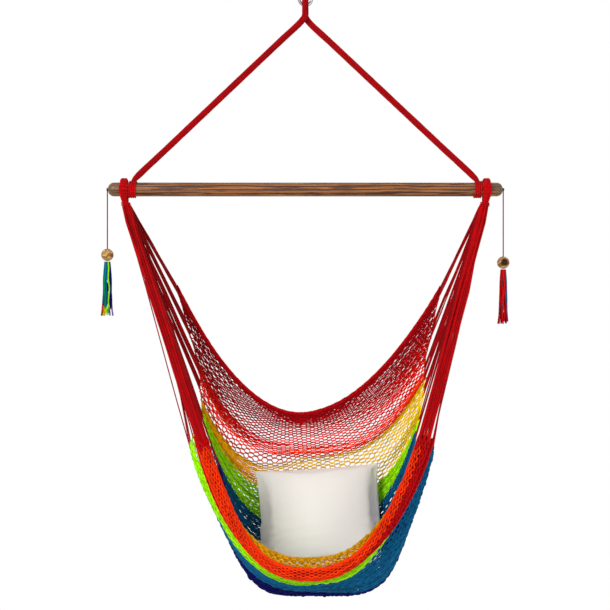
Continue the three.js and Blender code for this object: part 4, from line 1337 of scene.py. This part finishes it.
# %% Finish: steel
def steel_finish(name, colour, roughness, brushed):
    finish = Finish(name, Metallic=1.0)
    place = finish.place()
    lines = finish.noise(finish.stretched(place, brushed), 60.0, 3.0)
    stains = finish.noise(place, 90.0, 3.0)
    tone = finish.mix(stains * 0.5, linear(colour), linear(colour, 0.6))
    return finish.wear(
        Base_Color=tone, Roughness=roughness + (lines - 0.5) * 0.22, Normal=finish.bump(lines, 0.00006, 0.5),
    )


steel = steel_finish("brushed_steel", "a4a7ab", 0.3, (1.0, 1.0, 12.0))
WIRE_RADIUS = 0.004
HOOK_TURN = math.radians(15)
BOW_RADIUS = 0.017
TOP_BOW = WIRE_RADIUS - BOW_RADIUS
BOTTOM_BOW = -HOOK_INNER_LENGTH - WIRE_RADIUS + BOW_RADIUS
GATE_TOP = TOP_BOW - WIRE_RADIUS
GATE_BOTTOM = BOTTOM_BOW + WIRE_RADIUS
SHOULDER_GAP = 0.0019
RIVET_HEIGHT = GATE_BOTTOM + 0.0044


def hook_turned(points):
    """From the hook's own plane into the frame."""
    x, y, z = np.asarray(points, float).T
    c, s = math.cos(HOOK_TURN), math.sin(HOOK_TURN)
    return np.stack([x * c - y * s, x * s + y * c, z], 1)


def bow(centre, start, end):
    turns = np.linspace(start, end, 30)
    return np.stack([BOW_RADIUS * np.cos(turns), 0 * turns, centre + BOW_RADIUS * np.sin(turns)], 1)


wire = np.vstack([
    [[BOW_RADIUS, 0, GATE_TOP + SHOULDER_GAP]],
    bow(TOP_BOW, 0, math.pi),
    bow(BOTTOM_BOW, math.pi, math.tau),
    [[BOW_RADIUS, 0, GATE_BOTTOM - SHOULDER_GAP]],
])
hook_wire = corded("hook_wire", [hook_turned(wire)], WIRE_RADIUS, 24, steel)


def tab_mesh(name, low, high, round_up):
    """The flattened end of the wire that sits in the gate's slot."""
    half, thick = 0.0038, 0.0016
    arc = np.linspace(0, math.pi, 12)
    sign = 1 if round_up else -1
    round_end = high if round_up else low
    flat_end = low if round_up else high
    outline = [(half * math.cos(t), round_end + sign * half * math.sin(t)) for t in arc]
    outline += [(-half, flat_end), (half, flat_end)]
    points = [(BOW_RADIUS + x, y, z) for y in (-thick, thick) for x, z in outline]
    count = len(outline)
    faces = [tuple(range(count)), tuple(range(2 * count - 1, count - 1, -1))]
    faces += [(k, k + count, (k + 1) % count + count, (k + 1) % count) for k in range(count)]
    mesh = bpy.data.meshes.new(name)
    mesh.from_pydata(hook_turned(points).tolist(), [], faces)
    with editing(mesh) as tidy:
        bmesh.ops.recalc_face_normals(tidy, faces=tidy.faces)
        bmesh.ops.bevel(tidy, geom=tidy.edges[:], offset=0.0003, segments=2, affect="EDGES")
    piece = placed(name, mesh)
    mesh.materials.append(steel)
    return piece


tabs = [
    tab_mesh("hook_lower_tab", GATE_BOTTOM - SHOULDER_GAP - 0.0003, RIVET_HEIGHT, True),
    tab_mesh("hook_upper_tab", GATE_TOP - 0.0035, GATE_TOP + SHOULDER_GAP + 0.0003, False),
]
settle(hook_wire, "hook_frame", "steel", "snap_hook_body")
for tab in tabs:
    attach(tab, "hook_frame")


def refined(node, name, finish, body, slot, sharp=35):
    """A welded copy of a frame solid, shaded smooth up to its sharp edges."""
    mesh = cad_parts[node].data.copy()
    mesh.name = name
    mesh.materials.clear()
    mesh.materials.append(finish)
    with editing(mesh) as weld:
        bmesh.ops.remove_doubles(weld, verts=weld.verts, dist=0.00001)
        bmesh.ops.dissolve_limit(weld, angle_limit=math.radians(1), verts=weld.verts, edges=weld.edges)
    mesh.polygons.foreach_set("use_smooth", [True] * len(mesh.polygons))
    mesh.set_sharp_from_angle(angle=math.radians(sharp))
    piece = placed(name, mesh)
    print(f"{name}: {len(mesh.polygons)} faces")
    return settle(piece, body, slot, node)


refined("snap_hook_gate", "hook_gate", steel, "gate", "steel")
refined("gate_rivet", "hook_rivet", steel, "hook_frame", "steel")
for name, side in SIDES.items():
    refined(f"{name}_tassel_tack", f"{name}_tack", steel, "suspension", "steel")
spring = wound(
    "hook_spring", 0.0013, 0.00206, 5.0, 0.00035, steel,
    tuple(hook_turned([[BOW_RADIUS, 0, RIVET_HEIGHT + 0.0043 + 0.0055]])[0]), UPRIGHT,
)
settle(spring, "gate", "steel", "gate_spring")

# %% [markdown]
# ## The cushion
# It is a stuffed square of unbleached cotton, full in the middle and drawn in between its corners.
# A cloth simulation makes it: the frame's shape is remeshed, blown up a little by pressure, and no
# point may move more than a few millimetres. The folds come after, where the seat squeezes it.


# %% Finish: cotton canvas
def canvas_finish(name):
    finish = Finish(name, Sheen_Weight=0.2, Sheen_Roughness=0.6, Specular_IOR_Level=0.2)
    place = finish.place()
    turned = finish.stretched(place, (1.0, 1.0, 1.0), (CUSHION_LEAN, 0.0, 0.0))
    parts = finish.nodes.new("ShaderNodeSeparateXYZ")
    finish.put(parts, 0, turned)
    warp, weft = ((Value(finish, parts.outputs[i]) * 4200).math("SINE") for i in (0, 2))
    slub = finish.noise(finish.stretched(place, (1.0, 14.0, 14.0)), 26.0, 2.0)
    stain = finish.noise(place, 7.0, 3.0)
    fibre = finish.noise(place, 1400.0, 2.0)
    weave = warp * weft * 0.5 + 0.5
    colour = finish.mix(stain, linear("f6f2ec"), linear("ece7e0"))
    colour = finish.mix(weave * 0.16 + slub * 0.1, colour, linear("d6cfc6"))
    return finish.wear(
        Base_Color=colour,
        Roughness=0.82 + fibre * 0.14,
        Normal=finish.bump(weave * 0.5 + fibre * 0.5, 0.00025, 0.5),
    )


CUSHION_LEAN = math.radians(-31)
CUSHION_TILT = math.radians(-4)
canvas = canvas_finish("cotton_canvas")

# %% Cushion by cloth simulation
CUSHION_START = 0.99
VOXEL = 0.006
MOST_MOVE = 0.007


def cushion_copy():
    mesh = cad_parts["cushion"].data.copy()
    with editing(mesh) as weld:
        bmesh.ops.remove_doubles(weld, verts=weld.verts, dist=0.00001)
        centre = sum((v.co for v in weld.verts), Vector()) / len(weld.verts)
        for vertex in weld.verts:
            vertex.co = centre + (vertex.co - centre) * CUSHION_START
    mesh.name = "cushion_cover"
    piece = placed("cushion_cover", mesh)
    return piece, centre


def applied(piece):
    graph = bpy.context.evaluated_depsgraph_get()
    mesh = bpy.data.meshes.new_from_object(piece.evaluated_get(graph), depsgraph=graph)
    piece.modifiers.clear()
    piece.data = mesh


def points_of(mesh):
    flat = np.zeros(len(mesh.vertices) * 3, np.float32)
    mesh.vertices.foreach_get("co", flat)
    return flat.reshape(-1, 3).astype(float)


cover, cushion_centre = cushion_copy()
remesh = cover.modifiers.new("even", "REMESH")
remesh.mode, remesh.voxel_size = "VOXEL", VOXEL
applied(cover)
before = points_of(cover.data)
cloth = cover.modifiers.new("stuffing", "CLOTH")
cloth.settings.use_pressure = True
cloth.settings.uniform_pressure_force = 4
cloth.settings.effector_weights.gravity = 0
for step in range(1, 21):
    bpy.context.scene.frame_set(step)
applied(cover)
bpy.context.scene.frame_set(1)
moved = points_of(cover.data) - before
far = np.linalg.norm(moved, axis=1, keepdims=True)
after = before + moved * np.minimum(1, MOST_MOVE / np.maximum(far, 1e-9))
cover.data.vertices.foreach_set("co", after.astype(np.float32).ravel())
print("cushion: moved up to", round(float(far.max()) * 1000, 1), "mm, kept to", MOST_MOVE * 1000)
smooth = cover.modifiers.new("smooth", "SUBSURF")
smooth.levels = smooth.render_levels = 1
applied(cover)

# %% Cushion: folds where the seat squeezes it
CUSHION_HALF = 0.169
SIDE_FILL = 0.045
LOW_LEFT_FILL = 0.015
FOLD_DEPTH = 0.0052
SIDE_THIN = 0.55
FOLD_WIDTH, RIDGE_APART, RIDGE_SHARE = 0.0065, 0.012, 0.55
FOLDS = [
    (-0.16, -0.02, 0.045, -0.35), (-0.155, -0.06, 0.05, 0.1), (-0.15, -0.1, 0.05, 0.45),
    (0.16, 0.0, 0.035, 0.3), (0.155, -0.05, 0.04, -0.2),
    (-0.12, -0.13, 0.04, 0.9), (0.12, -0.13, 0.045, -0.8),
]
turn_back = Euler((CUSHION_LEAN, CUSHION_TILT, 0)).to_matrix()
own = (points_of(cover.data) - np.array(cushion_centre)) @ np.array(turn_back)
push = np.zeros(len(own))
for x, z, length, slope in FOLDS:
    u = own[:, 0] - x
    v = own[:, 2] - z
    along = u * math.cos(slope) + v * math.sin(slope)
    aside = -u * math.sin(slope) + v * math.cos(slope)
    fade = np.exp(-((along / length) ** 2))
    valley, ridge = (np.exp(-(((aside - shift) / FOLD_WIDTH) ** 2)) for shift in (0, RIDGE_APART))
    push -= FOLD_DEPTH * fade * (valley - RIDGE_SHARE * ridge)
own[:, 0] *= 1.035 + SIDE_FILL * np.exp(-((own[:, 2] / (0.6 * CUSHION_HALF)) ** 2))
low_left = np.clip(-own[:, 0] / CUSHION_HALF, 0, 1) * np.clip(-own[:, 2] / CUSHION_HALF, 0, 1)
own[:, 0] -= LOW_LEFT_FILL * np.sqrt(low_left)
to_side = np.abs(own[:, 0]) / np.abs(own[:, 0]).max()
own[:, 1] *= 1 - SIDE_THIN * np.clip((to_side - 0.72) / 0.28, 0, 1) ** 1.5
facing = np.sign(own[:, 1])
own[:, 1] += push * facing * np.clip(np.abs(own[:, 1]) / 0.02, 0, 1)
shaped = own @ np.array(turn_back).T + np.array(cushion_centre)
cover.data.vertices.foreach_set("co", shaped.astype(np.float32).ravel())
cover.data.polygons.foreach_set("use_smooth", [True] * len(cover.data.polygons))
cover.data.materials.clear()
cover.data.materials.append(canvas)
cover.data.update()
settle(cover, "pillow", "cushion_cloth", "cushion")
print("cushion:", len(cover.data.polygons), "faces")

# %% [markdown]
# ## The studio
# A pale floor far below, an even white world that the camera sees as white, and four large soft
# lamps. Their level is set so that a colour comes out about as it is written. The floor keeps the
# chair's shadow, and fades into the white at its rim.

# %% Studio
FLOOR_Z = -2.03
FLOOR_RADIUS = 4.0
FLOOR_SIDES = 96
WORLD_LEVEL = 0.42
LAMPS = [
    ("key_lamp", (-2.1, -3.0, 1.1), 1.8, 120),
    ("fill_lamp", (2.4, -2.9, -0.6), 2.4, 40),
    ("back_lamp", (0.6, 3.0, 0.6), 2.2, 24),
    ("low_lamp", (0.0, -2.8, -1.95), 2.0, 14),
]
AIM = Vector((0, 0, -1.1))

world = bpy.data.worlds.new("white_studio")
bpy.context.scene.world = world
world.use_nodes = True
sky = Tree(world.node_tree.nodes, world.node_tree.links)
seen = [sky.node("ShaderNodeLightPath", {}, output=i) for i in (0, 3, 6)]
shows = seen[0].math("MAXIMUM", seen[1]).math("MAXIMUM", seen[2])
background = world.node_tree.nodes["Background"]
background.inputs["Color"].default_value = (1, 1, 1, 1)
sky.put(background, "Strength", shows * (1 - WORLD_LEVEL) + WORLD_LEVEL)

floor_mesh = bpy.data.meshes.new("floor")
turns = np.linspace(0, math.tau, FLOOR_SIDES, endpoint=False)
rim = [(FLOOR_RADIUS * math.cos(t), FLOOR_RADIUS * math.sin(t), FLOOR_Z) for t in turns]
floor_mesh.from_pydata(rim, [], [tuple(range(FLOOR_SIDES))])
floor = placed("floor", floor_mesh)
floor_finish = Finish("pale_floor", Roughness=0.9, Specular_IOR_Level=0.1)
floor_finish.put(floor_finish.shader, "Base Color", (0.93, 0.93, 0.93, 1))
away = floor_finish.distance((0, 0, FLOOR_Z))
fade = ((away - 0.9) / 0.8).clamped()
glow = floor_finish.node("ShaderNodeEmission", {}, (1, 1, 1, 1), 1.0)
mixed = floor_finish.node(
    "ShaderNodeMixShader", {}, fade, Value(floor_finish, floor_finish.shader.outputs[0]), glow,
)
floor_finish.put(floor_finish.nodes["Material Output"], 0, mixed)
floor_mesh.materials.append(floor_finish.material)

for name, place, size, power in LAMPS:
    lamp_data = bpy.data.lights.new(name, "AREA")
    lamp_data.shape, lamp_data.size, lamp_data.energy = "SQUARE", size, power
    lamp = bpy.data.objects.new(name, lamp_data)
    lamp.location = place
    lamp.rotation_mode = "QUATERNION"
    lamp.rotation_quaternion = (AIM - Vector(place)).to_track_quat("-Z", "Y")
    bpy.context.scene.collection.objects.link(lamp)
bpy.context.scene.view_settings.view_transform = "Standard"
print("studio:", len(LAMPS), "lamps")
